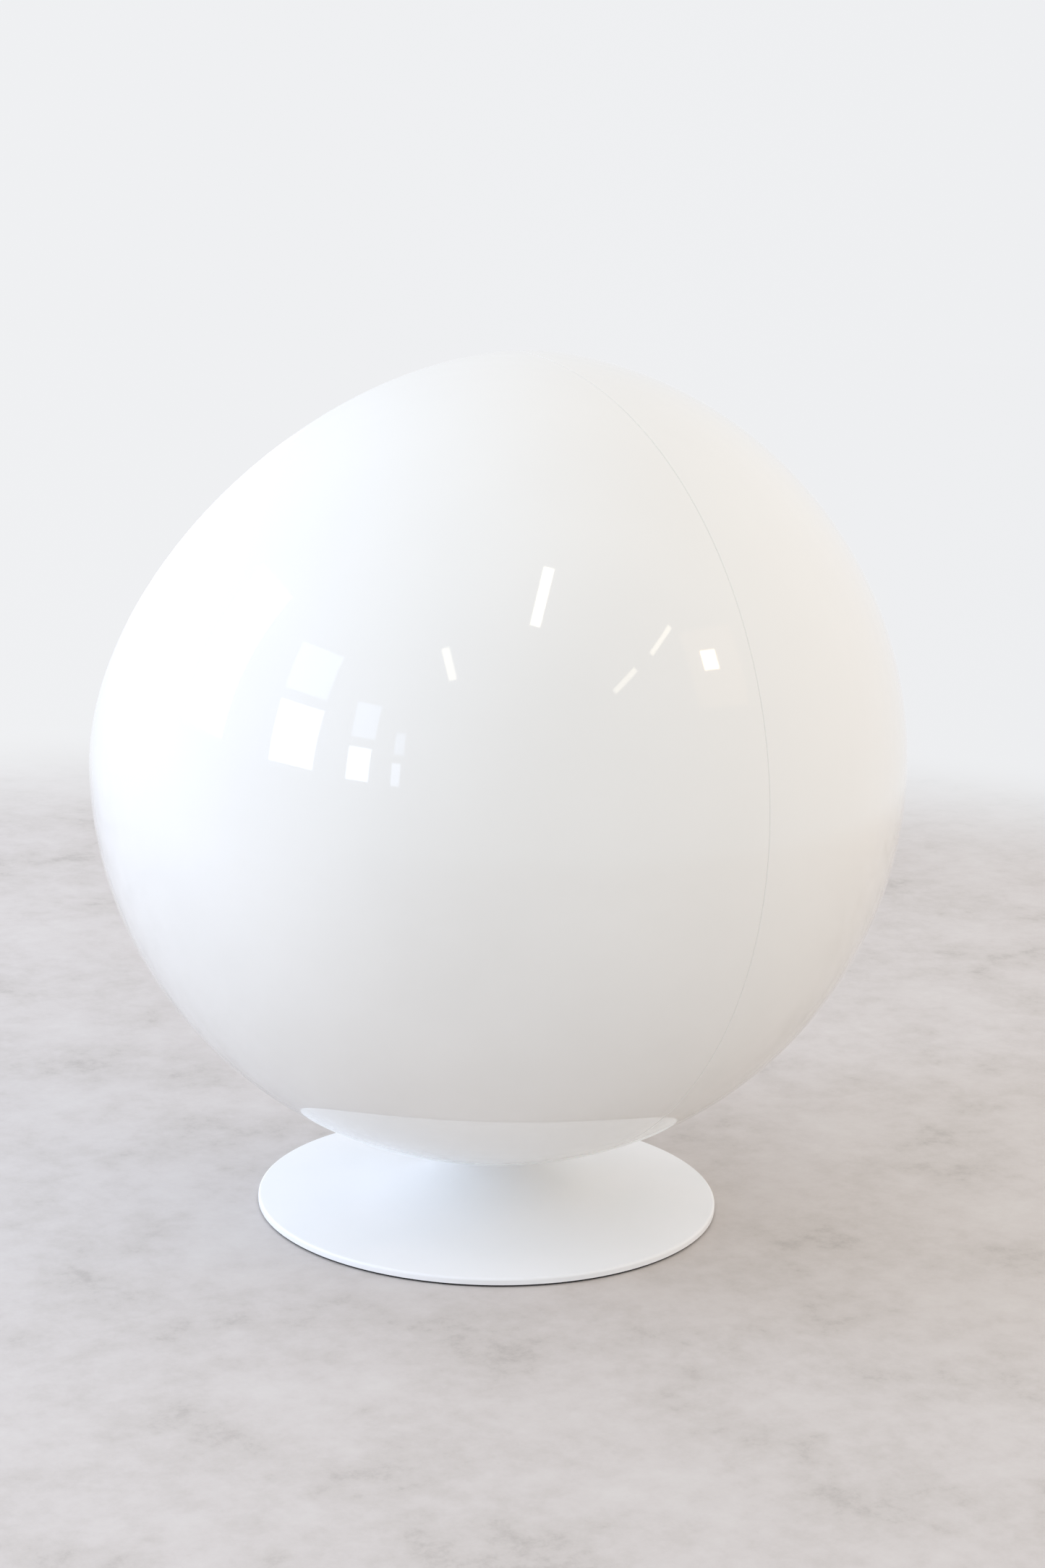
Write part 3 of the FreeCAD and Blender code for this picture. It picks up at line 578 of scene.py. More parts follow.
SLOT_FINISH: dict[str, Finish] = {
    "shell_gelcoat": GELCOAT, "glass_laminate": LAMINATE, "welt_wool": PIPING,
    "lining_wool": LINING, "cushion_wool": CUSHION, "hook_tape": HOOKS, "plywood": PLYWOOD,
    "zinc_steel": ZINC, "plain_steel": PRIMED, "ground_steel": GROUND, "ball_steel": BALLS,
    "spring_steel": SPRING, "cage_nylon": NYLON, "bush_bronze": BRONZE, "black_rubber": RUBBER,
    "cast_aluminium": ALUMINIUM, "pedestal_paint": POWDER,
}


def finish_piece(item: Piece, finish: Finish) -> Piece:
    """Give a new piece its material and the body it moves with.

    Args:
        item: the piece, which turns with the seat.
        finish: what it is made of.

    Returns:
        The same piece.
    """
    item.data.materials.clear()
    item.data.materials.append(finish.material())
    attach(item, SEAT_BODY)
    return item


# ---------------------------------------------------------------------------------------------
# The ball and its opening
# ---------------------------------------------------------------------------------------------
@dataclass(frozen=True)
class BallFrame:
    """Where the ball and its opening lie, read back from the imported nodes' boxes.

    Args:
        centre: centre of the ball.
        radius: outer radius of the ball.
        ahead: unit vector out through the middle of the opening.
        up: unit vector square to ahead, in the chair's plane of symmetry.
        welt_offset: ball centre to the plane of the welt.
        welt_radius: radius of the welt's cord.
        welt_ring: radius of the ring that the welt makes.
    """

    centre: Array
    radius: float
    ahead: Array
    up: Array
    welt_offset: float
    welt_radius: float
    welt_ring: float

    @classmethod
    def from_nodes(cls) -> "BallFrame":
        """Work the frame out from the boxes of the left half and the welt.

        The welt is a ring of cord leaning in the Y-Z plane, so its half sizes are ring plus cord
        along X, ring times the sine of its lean plus cord along Y, and ring times the cosine plus
        cord along Z. Squaring and adding gives the cord's radius from a quadratic.

        Returns:
            The frame.
        """
        low, high = (np.array(corner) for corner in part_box("shell_left"))
        radius = float(high[0])
        centre = np.array([0.0, 0.0, low[2] + radius])
        w_low, w_high = (np.array(corner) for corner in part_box("rim_welt"))
        hx, hy, hz = (w_high - w_low) / 2
        half_b = hy + hz - hx
        cord = half_b - math.sqrt(half_b ** 2 - (hy ** 2 + hz ** 2 - hx ** 2))
        middle = (w_low + w_high) / 2 - centre
        offset = float(np.linalg.norm(middle))
        ahead = middle / offset
        up = np.array([0.0, ahead[2], -ahead[1]])
        return cls(centre, radius, ahead, up, offset, cord, float(hx - cord))

    def ring(self, across: Array, along: Array, turn: Array,
             side: float = 1.0) -> Array:
        """Points at a distance across from the opening's axis, along it, and turned round it.

        Each point is the centre, plus along times ahead, plus across times the cosine of the
        turn upwards and its sine sideways.

        Args:
            across: distances from the axis.
            along: distances ahead of the ball's centre.
            turn: angles round the axis from straight up.
            side: which way the angles go, 1 to the left or -1 to the right.

        Returns:
            The points, in an array of the same shape with a last axis of three.
        """
        sideways = np.array([side, 0.0, 0.0])
        out = np.cos(turn)[..., None] * self.up + np.sin(turn)[..., None] * sideways
        return self.centre + along[..., None] * self.ahead + across[..., None] * out


@dataclass
class MouldedShell:
    """The two bonded halves of the ball, each a closed wall with a rounded lip.

    Args:
        ball: where the ball and its opening are.
        wall: thickness of the wall.
        lip_width: width of the flat rim.
        lip_depth: thickness of the rim.
        rounding: radius of the rim's edges.
        columns: points round each row.
        ripples: height, distance from the seam and width of each bell that the skin rises by
            beside it: a narrow groove, a low ridge where the filler was sanded, and a dip.
        dish_depth: how far the skin sinks towards the seam.
        dish_reach: how far from the seam it does so.
        calm: distance before the rim over which all that dies away.
        names: the side that each half lies on, and its name.
    """

    ball: BallFrame
    wall: float = 6 * MM
    lip_width: float = 22 * MM
    lip_depth: float = 8 * MM
    rounding: float = 3.5 * MM
    columns: int = 281
    ripples: tuple = ((-0.7 * MM, 0.0, 0.55 * MM), (0.035 * MM, 4.5 * MM, 2.6 * MM),
                      (-0.03 * MM, 11 * MM, 5 * MM))
    dish_depth: float = 0.07 * MM
    dish_reach: float = 22 * MM
    calm: float = 12 * MM
    names: dict[float, str] = field(default_factory=lambda: {1.0: "left", -1.0: "right"})

    def lip_profile(self) -> Array:
        """Outline of the lip as (across, along), from the ball's outside round to its inside.

        Three quarter turns of the rounding's radius, joined by straights: the outer edge, the
        inner edge at the front and the inner edge at the back.

        Returns:
            The outline's points, as rows of two.
        """
        front = self.ball.welt_offset - self.ball.welt_radius + self.lip_depth
        back = front - self.lip_depth
        turn = self.rounding
        outer = self.ball.radius
        nose = math.sqrt((outer - turn) ** 2 - (front - turn) ** 2)
        bore = math.sqrt(outer ** 2 - front ** 2) - self.lip_width
        lean = math.atan2(front - turn, nose)
        corners = [((nose, front - turn), np.linspace(lean, math.pi / 2, 9)),
                   ((bore + turn, front - turn), np.linspace(math.pi / 2, math.pi, 9)),
                   ((bore + turn, back + turn), np.linspace(math.pi, 1.5 * math.pi, 7))]
        parts = [np.stack([x + turn * np.cos(a), y + turn * np.sin(a)], -1)
                 for (x, y), a in corners]
        root = math.sqrt((outer - self.wall) ** 2 - back ** 2)
        return np.concatenate([*parts, [[root, back]]])

    def rows(self, edge: float) -> tuple[Array, int]:
        """Distances from the seam of the rows of points.

        Close together at the seam, where the groove and ripple are, even across the ball, then
        even round the rim, then even up to the side of the ball.

        Args:
            edge: radius of the opening where the rim starts.

        Returns:
            The distances, and how many of the rows meet the rim.
        """
        fine = np.array([0, 0.2, 0.4, 0.6, 0.85, 1.2, 1.8, 2.6, 3.6, 4.8, 6, 7.5, 9, 11, 13, 15.5,
                         18, 21, 25, 30, 36]) * MM
        turned = edge * np.sin(np.radians(np.linspace(74, 90, 9)))
        even = np.arange(fine[-1] + 10 * MM, turned[0] - 4 * MM, 10 * MM)
        to_rim = np.concatenate([fine, even, turned])
        start = math.asin(edge / self.ball.radius)
        to_side = self.ball.radius * np.sin(np.linspace(start, math.pi / 2, 26)[1:])
        return np.concatenate([to_rim, to_side]), len(to_rim)

    def ripple(self, x: Array) -> Array:
        """Rise of the skin beside the seam: the sum of its bells, less a slight dish that dies
        away as e to the minus distance over its reach.

        Args:
            x: distances from the seam.

        Returns:
            The rise at each distance.
        """
        bells = sum(height * bell(x, middle, width) for height, middle, width in self.ripples)
        return bells - self.dish_depth * np.exp(-x / self.dish_reach)

    def skin(self, radius: float, plane: float, x: Array, side: float,
             rise: Array) -> Array:
        """One face of the wall as a grid: rows at distances x from the seam, columns round it.

        A row is the circle that the plane at x cuts from the ball, less the part beyond the
        opening's plane: it starts where the cosine of its angle from ahead is plane over the
        circle's radius.

        Args:
            radius: radius of the face.
            plane: ball centre to the plane where the face ends.
            x: distance of each row from the seam.
            side: 1 for the left half, -1 for the right.
            rise: how far each row stands out beyond the radius, away from the rim.

        Returns:
            The grid of points.
        """
        circle = np.sqrt(np.maximum(radius ** 2 - x ** 2, 0))
        start = np.arccos(np.clip(plane / np.maximum(circle, 1e-9), -1, 1))
        share = np.linspace(0, 1, self.columns)
        angle = start[:, None] + share * (2 * np.pi - 2 * start)[:, None]
        away = np.minimum(share, 1 - share) * (2 * np.pi - 2 * start)[:, None] * radius
        flat = np.stack([np.broadcast_to(side * x[:, None], angle.shape),
                         circle[:, None] * np.cos(angle), circle[:, None] * np.sin(angle)], -1)
        flat *= 1 + (rise[:, None] * smoothstep(away / self.calm) / radius)[..., None]
        return (self.ball.centre + flat[..., :1] * np.array([1.0, 0, 0])
                + flat[..., 1:2] * self.ball.ahead + flat[..., 2:] * self.ball.up)

    def half(self, side: float) -> Piece:
        """Build one half: outside, inside, lip, and the flat face that meets the other half.

        Args:
            side: 1 for the left half, -1 for the right.

        Returns:
            The half, closed.
        """
        profile = self.lip_profile()
        edge, rim_plane = profile[0]
        root, back = profile[-1]
        x, meeting = self.rows(edge)
        turn = np.arcsin(np.clip(x[:meeting] / edge, 0, 1))
        inner_radius = self.ball.radius - self.wall
        beyond = np.linspace(math.asin(root / inner_radius), math.pi / 2, len(x) - meeting + 1)[1:]
        inner_x = np.concatenate([root * np.sin(turn), inner_radius * np.sin(beyond)])
        outside = self.skin(self.ball.radius, rim_plane, x, side, self.ripple(x))
        inside = self.skin(inner_radius, back, inner_x, side, np.zeros_like(x))
        across = np.broadcast_to(profile[:, 0], (meeting, len(profile)))
        along = np.broadcast_to(profile[:, 1], across.shape)
        lips = [self.ball.ring(across, along, np.broadcast_to(t[:, None], across.shape), side)
                for t in (turn, np.pi - turn)]
        seam = np.stack([outside[0], inside[0]])
        grids = [outside, inside, *lips, seam]
        starts = np.cumsum([0] + [g.shape[0] * g.shape[1] for g in grids])
        quads = np.concatenate([grid_faces(g.shape[0], g.shape[1], s) for g, s in zip(grids, starts)])
        caps = [list(range(int(starts[k]), int(starts[k]) + len(profile))) for k in (2, 3)]
        points = np.concatenate([g.reshape(-1, 3) for g in grids])
        item = make_mesh(f"moulded_half_{self.names[side]}", points, quads, caps, merge=WELD_LIP,
                         sharp=CRISP)
        self.true_gloss(item.data)
        return item

    def true_gloss(self, mesh: Mesh) -> None:
        """Shade the outside by the sphere's own directions, so that reflections run true.

        A point on the outside gets the direction from the ball's centre; one beside the seam,
        on the lip or inside gets none, which leaves it as its faces have it.

        Args:
            mesh: the mesh of one half.
        """
        points = read_points(mesh)
        away = points - self.ball.centre
        reach = np.linalg.norm(away, axis=1)
        plain = (np.abs(reach - self.ball.radius) < 0.1 * MM) & (np.abs(points[:, 0]) > 60 * MM)
        plain &= away @ self.ball.ahead < self.lip_profile()[0, 1] - self.calm
        normals = np.where(plain[:, None], away / reach[:, None], 0.0)
        mesh.normals_split_custom_set_from_vertices(normals.tolist())

    def build(self) -> None:
        """Make both halves and put them in place of the plain ones."""
        for side, name in self.names.items():
            half = finish_piece(self.half(side), GELCOAT)
            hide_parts(f"shell_{name}")
            log.info("shell half %s: %d faces", name, len(half.data.polygons))


# ---------------------------------------------------------------------------------------------
# Upholstery
# ---------------------------------------------------------------------------------------------
@dataclass(frozen=True)
class SlopedFrame:
    """A frame for a soft piece: x across the chair, then two directions in its X = 0 plane.

    Args:
        origin: a point of the frame's plane at the middle of the chair.
        lean: how far the frame's third direction leans back from straight up, in radians.
    """

    origin: Array
    lean: float

    @property
    def axes(self) -> Array:
        """The three directions as rows: across, back and down the slope, and square to it."""
        c, s = math.cos(self.lean), math.sin(self.lean)
        return np.array([[1.0, 0, 0], [0, c, -s], [0, s, c]])

    def local(self, points: Array) -> Array:
        """Points of the chair's frame in this one."""
        return (points - self.origin) @ self.axes.T

    def world(self, points: Array) -> Array:
        """Points of this frame in the chair's."""
        return self.origin + points @ self.axes


@dataclass
class SewnLining:
    """The felt cover of the foam lining: gores sewn edge to edge that meet behind the sitter.

    Args:
        ball: where the ball and its opening are.
        deck: the deck's frame, where the lining stops.
        foam: thickness of the foam and its cover.
        gores: how many pieces of cloth are sewn together.
        seam_depth: how far the stitching pulls a seam into the foam.
        seam_core: half width of the crease at the seam itself.
        seam_roll: how far from the seam the cloth rolls into it.
        pucker_depth: height of the puckers across a seam.
        pucker_pitch: distance from one pucker to the next.
        pucker_reach: how far from the seam they reach.
        swell_depth: height of the slow swell between the seams.
        front_rounding: radius of the front edge.
        stitch_pitch: distance from one stitch to the next.
        stitch_offset: seam to each row of stitches.
        stitch_rise: deck to the lowest stitch.
    """

    ball: BallFrame
    deck: SlopedFrame
    foam: float = 28 * MM
    gores: int = 8
    seam_depth: float = 4.2 * MM
    seam_core: float = 2.2 * MM
    seam_roll: float = 16 * MM
    pucker_depth: float = 0.5 * MM
    pucker_pitch: float = 19 * MM
    pucker_reach: float = 14 * MM
    swell_depth: float = 0.64 * MM
    front_rounding: float = 6 * MM
    stitch_pitch: float = 7.5 * MM
    stitch_offset: float = 5.5 * MM
    stitch_rise: float = 6 * MM

    @property
    def outer(self) -> float:
        """Radius of the lining's back, against the shell."""
        return float(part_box("lining_upper_left")[1][0])

    @property
    def front(self) -> float:
        """Ball centre to the lining's front edge, just behind the welt."""
        return self.ball.welt_offset - self.ball.welt_radius - TOUCH_GAP

    def columns(self) -> Array:
        """Turns round the opening's axis, close together beside each seam.

        Returns:
            The angles of all the columns.
        """
        steps = np.array([0, 1.3, 2.6, 4, 5.6, 8, 12, 19, 30, 48, 78, 125]) * MM
        gore = 2 * np.pi / self.gores
        near = steps / (self.outer * gore)
        one = np.concatenate([near, 1 - near[:0:-1]])
        return (np.arange(self.gores)[:, None] + one).ravel() * gore + gore / 2

    def relief(self, turn: Array, across: Array, back: Array) -> Array:
        """How deep the cover lies, in metres.

        With d the distance to the nearest seam: a narrow bell at the seam itself, plus a wider
        curve that dies away where the cloth rolls into it, plus puckers that cross the seam at
        their pitch and fade beside it, less a slow swell between the seams.

        Args:
            turn: angles round the opening's axis.
            across: distances from that axis.
            back: distances along the section from the back pole.

        Returns:
            The depth at each point.
        """
        gore = 2 * np.pi / self.gores
        d = across * np.abs((turn / gore) % 1.0 - 0.5) * gore
        pull = 0.45 * bell(d, 0, self.seam_core) + 0.55 * np.exp(-d / self.seam_roll)
        wander = 3 * np.sin(back / (70 * MM))
        pucker = self.pucker_depth * np.sin(2 * np.pi * back / self.pucker_pitch + wander)
        swell = self.swell_depth * np.sin(4 * turn + 1) * np.sin(back / (160 * MM))
        fade = smoothstep((across - 25 * MM) / (60 * MM))
        return fade * (self.seam_depth * pull + pucker * np.exp(-d / self.pucker_reach)) - swell

    def profile(self) -> tuple[Array, int]:
        """Section of the lining.

        Along the inside of the foam from the back pole, round the front edge by a quarter turn
        and a little, out along the front, and back down the outside.

        Returns:
            Rows of distance across and along, and how many of the rows show.
        """
        inner, turn = self.outer - self.foam, self.front_rounding
        nose_along = self.front - turn
        nose_across = math.sqrt((inner + turn) ** 2 - nose_along ** 2)
        lean = math.atan2(nose_along, nose_across)
        arc = np.linspace(0, np.pi / 2 + lean, 210)
        inside = np.stack([inner * np.sin(arc), -inner * np.cos(arc)], -1)
        sweep = np.linspace(np.pi + lean, np.pi / 2, 9)[1:]
        nose = np.stack([nose_across + turn * np.cos(sweep), nose_along + turn * np.sin(sweep)], -1)
        edge = math.acos(self.front / self.outer)
        arc = np.linspace(edge, np.pi, 60)
        outside = np.stack([self.outer * np.sin(arc), self.outer * np.cos(arc)], -1)
        return np.concatenate([inside, nose, outside]), len(inside) + len(nose)

    def cover(self) -> Piece:
        """The cover, cut off along the deck.

        Returns:
            The cover, closed.
        """
        section, showing = self.profile()
        turn = self.columns()
        across = np.broadcast_to(section[:, :1], (len(section), len(turn)))
        along = np.broadcast_to(section[:, 1:], across.shape)
        turns = np.broadcast_to(turn, across.shape)
        points = self.ball.ring(across, along, turns)
        length = np.cumsum(np.concatenate([[0], np.linalg.norm(np.diff(section, axis=0), axis=1)]))
        depth = self.relief(turns, across, np.broadcast_to(length[:, None], across.shape))
        fading = 6
        last = np.arange(len(section) - showing + fading)
        depth[showing - fading:] *= np.clip(1 - last / fading, 0, 1)[:, None]
        points = points + depth[..., None] * unit(points - self.ball.centre)
        item = make_mesh("lining_cover", points, grid_faces(*across.shape, wrap=True), merge=WELD)
        self.trim(item)
        return item

    def trim(self, item: Piece) -> None:
        """Cut everything below the deck away and close the cut.

        Args:
            item: the cover.
        """
        build = bmesh.new()
        build.from_mesh(item.data)
        square = self.deck.axes[2]
        plane = self.deck.origin + square * 0.4 * MM
        made = bmesh.ops.bisect_plane(build, geom=[*build.verts, *build.edges, *build.faces],
                                      plane_co=plane, plane_no=square, clear_inner=True)
        edges = [e for e in made["geom_cut"] if isinstance(e, bmesh.types.BMEdge)]
        bmesh.ops.triangle_fill(build, use_beauty=True, edges=edges)
        bmesh.ops.recalc_face_normals(build, faces=build.faces)
        build.to_mesh(item.data)
        build.free()
        item.data.set_sharp_from_angle(angle=math.radians(CRISP))

    def stitching(self) -> Piece:
        """Two rows of stitches beside each seam, each stitch a short bead sunk in the felt.

        Returns:
            All the stitches as one piece.
        """
        inner = self.outer - self.foam
        last = math.pi - math.acos(self.front / inner) - 2 * self.front_rounding / inner
        down = np.arange(0.22, last, self.stitch_pitch / inner)
        seams = (np.arange(self.gores) + 0.5) * 2 * np.pi / self.gores
        seam, rows, theta = np.meshgrid(seams, [-1.0, 1.0], down, indexing="ij")
        across = inner * np.sin(theta)
        turn = seam + rows * self.stitch_offset / across
        base, ahead = (self.ball.ring(inner * np.sin(t), -inner * np.cos(t), turn).reshape(-1, 3)
                       for t in (theta, theta + 0.002))
        depth = self.relief(turn, across, inner * theta).ravel()
        inward = unit(self.ball.centre - base)
        base = base - inward * depth[:, None]
        keep = self.deck.local(base)[:, 2] > self.stitch_rise
        return thread_beads("lining_stitches", base[keep], unit(ahead - base)[keep], inward[keep])

    def build(self) -> None:
        """Make the cover and its stitches."""
        names = [f"lining_{level}_{side}" for level in ("upper", "lower") for side in ("left", "right")]
        cover = finish_piece(self.cover(), LINING)
        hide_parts(*names)
        log.info("lining cover: %d faces", len(cover.data.polygons))
        thread = finish_piece(self.stitching(), THREAD)
        log.info("lining stitches: %d faces", len(thread.data.polygons))


def thread_beads(name: str, places: Array, along: Array, out: Array, length: float = 5 * MM,
                 radius: float = 0.75 * MM) -> Piece:
    """Many stitches at once: each a bead of five rings of six points, thinner at its ends.

    With t from minus one to one along a stitch, the bead's radius is the full one times the
    root of one less t squared, and the bead sinks by its radius and a little times t squared.

    Args:
        name: name of the object.
        places: N by 3 middles of the stitches.
        along: N by 3 directions of the thread.
        out: N by 3 directions out of the cloth.
        length: length of a stitch.
        radius: radius of the thread.

    Returns:
        All the stitches as one object.
    """
    rings, sides = 5, 6
    out = unit(out - along * np.sum(out * along, -1, keepdims=True))
    side = np.cross(along, out)
    t = np.linspace(-1, 1, rings)
    girth = radius * np.sqrt(np.maximum(1 - t ** 2, 0.02))
    turn = full_turn(sides)
    a = np.broadcast_to((t * length / 2)[:, None], (rings, sides))
    b = girth[:, None] * np.cos(turn)
    c = girth[:, None] * np.sin(turn) - 1.1 * radius * (t ** 2)[:, None]
    points = (places[:, None, None] + a[..., None] * along[:, None, None]
              + b[..., None] * side[:, None, None] + c[..., None] * out[:, None, None])
    start = np.arange(len(places)) * rings * sides
    quads = (start[:, None, None] + grid_faces(rings, sides, wrap=True)).reshape(-1, 4)
    first = np.arange(sides)
    ends = np.stack([first[::-1], first + (rings - 1) * sides])
    caps = (start[:, None, None] + ends).reshape(-1, sides).tolist()
    return make_mesh(name, points, quads, caps)


@dataclass
class Cushion:
    """A loose cushion: two felt panels joined at piped seams, blown up by cloth simulation.

    Args:
        name: name of the finished piece.
        node: the plain solid that it stands for.
        ball: where the ball is, whose lining the cushion keeps clear of.
        fill: how tightly it is stuffed; not used.
        reach: radius about the ball's centre that the cushion keeps within.
        piping: radius of the piped cord.
        voxel: distance between points of the cloth.
        cap: how far a point may move as the cushion is blown up.
        pressure: how hard it is blown up.
        slack: share by which the cloth is cut too large.
        frames: how many steps the simulation takes.
        seam_pull: how deep the seam lies in the finished cushion.
        seam_width: half width of that hollow.
    """

    name: str
    node: str
    ball: BallFrame
    fill: float
    reach: float = 507.8 * MM
    piping: float = 4.2 * MM
    voxel: float = 9 * MM
    cap: float = 22 * MM
    pressure: float = 4.0
    slack: float = 0.03
    frames: int = 20
    seam_pull: float = 3.2 * MM
    seam_width: float = 7 * MM

    def seams(self) -> list[Array]:
        """The closed seams of the cushion, each as points in order."""
        raise NotImplementedError

    def blank(self) -> Array:
        """The cushion before it is blown up, as a grid from the middle of one face to the other."""
        raise NotImplementedError

    def limit(self, points: Array, clear: float = 0.0) -> Array:
        """Points moved back inside the space that the cushion may fill.

        Args:
            points: N by 3 places.
            clear: how much further from the lining they stay.

        Returns:
            The places, moved straight towards the ball's centre where they had to be.
        """
        away = points - self.ball.centre
        far = np.linalg.norm(away, axis=1, keepdims=True)
        return self.ball.centre + away * np.minimum(1, (self.reach - clear) / far)

    def seam_distance(self, points: Array) -> Array:
        """Distance from each point to the nearest seam.

        Args:
            points: N by 3 places.

        Returns:
            N distances.
        """
        seams = np.concatenate(self.seams())
        parts = np.array_split(points, max(1, len(points) // 4000))
        return np.concatenate([np.linalg.norm(p[:, None] - seams, axis=2).min(1) for p in parts])

    def blow_up(self, item: Piece) -> None:
        """Run the cloth: sewn edges stay where they are, and the panels swell between them.

        A point that the cloth moves by some distance ends up the cap times the hyperbolic
        tangent of that distance over the cap away from where it was.

        Args:
            item: the plain cushion, whose own points are moved.
        """
        before = read_points(item.data)
        sewn = item.vertex_groups.new(name="sewn")
        near = np.flatnonzero(self.seam_distance(before) < self.voxel)
        sewn.add(near.tolist(), 1.0, "REPLACE")
        cloth = item.modifiers.new("cloth", "CLOTH")
        cloth.settings.quality = 6
        cloth.settings.use_pressure = True
        cloth.settings.uniform_pressure_force = self.pressure
        cloth.settings.effector_weights.gravity = 0
        cloth.settings.vertex_group_mass = "sewn"
        cloth.settings.shrink_min = -self.slack
        cloth.settings.bending_stiffness = 0.4
        cloth.collision_settings.use_collision = False
        cloth.point_cache.frame_start = 1
        cloth.point_cache.frame_end = self.frames
        for step in range(1, self.frames + 1):
            bpy.context.scene.frame_set(step)
        blown = item.evaluated_get(bpy.context.evaluated_depsgraph_get())
        after = read_points(blown.data)
        item.modifiers.remove(cloth)
        item.vertex_groups.clear()
        bpy.context.scene.frame_set(1)
        moved = after - before
        size = np.linalg.norm(moved, axis=1, keepdims=True)
        moved *= self.cap * np.tanh(size / self.cap) / np.maximum(size, 1e-9)
        write_points(item.data, before + moved)

    def body(self) -> Piece:
        """The stuffed cushion, its seams pulled in by a bell where the piping lies.

        Returns:
            The cushion.
        """
        grid = self.blank()
        rough = make_mesh(self.name, grid, grid_faces(*grid.shape[:2], wrap=True), merge=WELD)
        remesh = rough.modifiers.new("even", "REMESH")
        remesh.mode = "VOXEL"
        remesh.voxel_size = self.voxel
        apply_modifiers(rough)
        self.blow_up(rough)
        smooth = rough.modifiers.new("finer", "SUBSURF")
        smooth.levels = smooth.render_levels = 1
        apply_modifiers(rough)
        points = read_points(rough.data)
        normals = np.empty(len(points) * 3)
        rough.data.vertex_normals.foreach_get("vector", normals)
        pulled = self.seam_pull * bell(self.seam_distance(points), 0, self.seam_width)
        points = points - normals.reshape(-1, 3) * pulled[:, None]
        write_points(rough.data, self.limit(points))
        rough.data.shade_smooth()
        return rough

    def build(self) -> None:
        """Make the cushion and its piping."""
        body = finish_piece(self.body(), CUSHION)
        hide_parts(self.node)
        log.info("%s: %d faces", self.name, len(body.data.polygons))
        for number, seam in enumerate(self.seams(), 1):
            line = Cushion.limit(self, seam, self.piping)
            cord = piped_cord(f"{self.name}_piping_{number}", line, self.piping)
            finish_piece(cord, PIPING)


def piped_cord(name: str, path: Array, radius: float) -> Piece:
    """Felt-covered cord along a closed seam.

    The cord's radius is the given one less up to 7% in a wave about every 11 mm, where the
    bias-cut cover puckers round its bends.

    Args:
        name: name of the object.
        path: N by 3 places round the seam.
        radius: radius of the cord.

    Returns:
        The cord.
    """
    length = np.cumsum(np.linalg.norm(path - np.roll(path, 1, 0), axis=1))
    waves = round(length[-1] / CORD_PUCKER)
    pucker = 0.5 + 0.5 * np.sin(2 * np.pi * waves * length / length[-1] + np.sin(length * 9))
    return tube(name, path, radius * (1 - 0.07 * pucker))


@dataclass
class SeatCushion(Cushion):
    """The round seat cushion: a flat-fronted drum with piped top and bottom edges.

    Args:
        deck: the frame of the deck that it lies on.
        thickness: height of the plain solid.
        lift: gap under it, for the hook tape.
        front: ball centre to the plane of its flat front.
        top_drop: top of the plain solid to the upper piping.
        foot_rise: foot of the plain solid to the lower piping.
        inset: how much smaller it is cut than the space it fills.
        crown_rise: how far the top may swell past the plain solid.
    """

    deck: SlopedFrame | None = None
    thickness: float = 140 * MM
    lift: float = 2.3 * MM
    front: float = 226 * MM
    top_drop: float = 19 * MM
    foot_rise: float = 7 * MM
    inset: float = 9 * MM
    crown_rise: float = 1 * MM

    @property
    def levels(self) -> tuple[float, float]:
        """Heights of the upper and the lower piping above the deck."""
        return self.lift + self.thickness - self.top_drop, self.lift + self.foot_rise

    def outline(self, height: float, share: float = 1.0, steps: int = 720) -> Array:
        """The cushion's outline at a height above the deck.

        In polar form about the circle that the height cuts from the lining's sphere: the
        smooth smaller of the circle's radius and the distance to the flat front, so that the
        front's two corners are rounded. The smooth smaller of two lengths is the sum of their
        powers of minus sixteen, to the power of minus a sixteenth.

        Args:
            height: height above the deck.
            share: share of the full outline, from the middle out.
            steps: how many points it has.

        Returns:
            The outline's points in the chair's frame.
        """
        middle = self.deck.local(self.ball.centre)
        radius = math.sqrt((self.reach - self.inset) ** 2 - (height - middle[2]) ** 2)
        ahead = self.deck.axes @ self.ball.ahead
        chord = (self.front - ahead[2] * (height - middle[2])) / -ahead[1]
        angle = full_turn(steps)
        facing = np.maximum(np.cos(angle), 1e-3)
        reach = (radius ** -16.0 + (chord / facing) ** -16.0) ** (-1 / 16)
        flat = np.stack([reach * np.sin(angle) * share, middle[1] - reach * np.cos(angle) * share,
                         np.full(steps, height)], -1)
        return self.deck.world(flat)

    def seams(self) -> list[Array]:
        """The piped edges at the top and foot."""
        return [self.outline(height) for height in self.levels]

    def blank(self) -> Array:
        """Rings from the middle of the top, down the side, to the middle of the foot.

        Returns:
            The rings as a grid of points.
        """
        top, foot = self.levels
        shares = (0.0, 0.2, 0.45, 0.7, 0.9)
        rings = [(top, share) for share in shares]
        rings += [(height, 1.0) for height in np.linspace(top, foot, 9)]
        rings += [(foot, share) for share in shares[::-1]]
        return np.stack([self.outline(height, share, RING_POINTS) for height, share in rings])

    def limit(self, points: Array, clear: float = 0.0) -> Array:
        """Inside the lining, above the hook tape, and flat on top under the back cushion.

        A height over the last 3 mm below the top is eased: the excess becomes the span that is
        left times the hyperbolic tangent of the excess over that span.

        Args:
            points: N by 3 places.
            clear: how much further from the lining they stay.

        Returns:
            The places, moved where they had to be.
        """
        flat = self.deck.local(super().limit(points, clear))
        flat[:, 2] = np.clip(flat[:, 2], self.lift, None)
        ease = 3 * MM
        span = ease + self.crown_rise
        over = np.maximum(flat[:, 2] - (self.lift + self.thickness - ease), 0)
        flat[:, 2] -= over - span * np.tanh(over / span)
        return self.deck.world(flat)


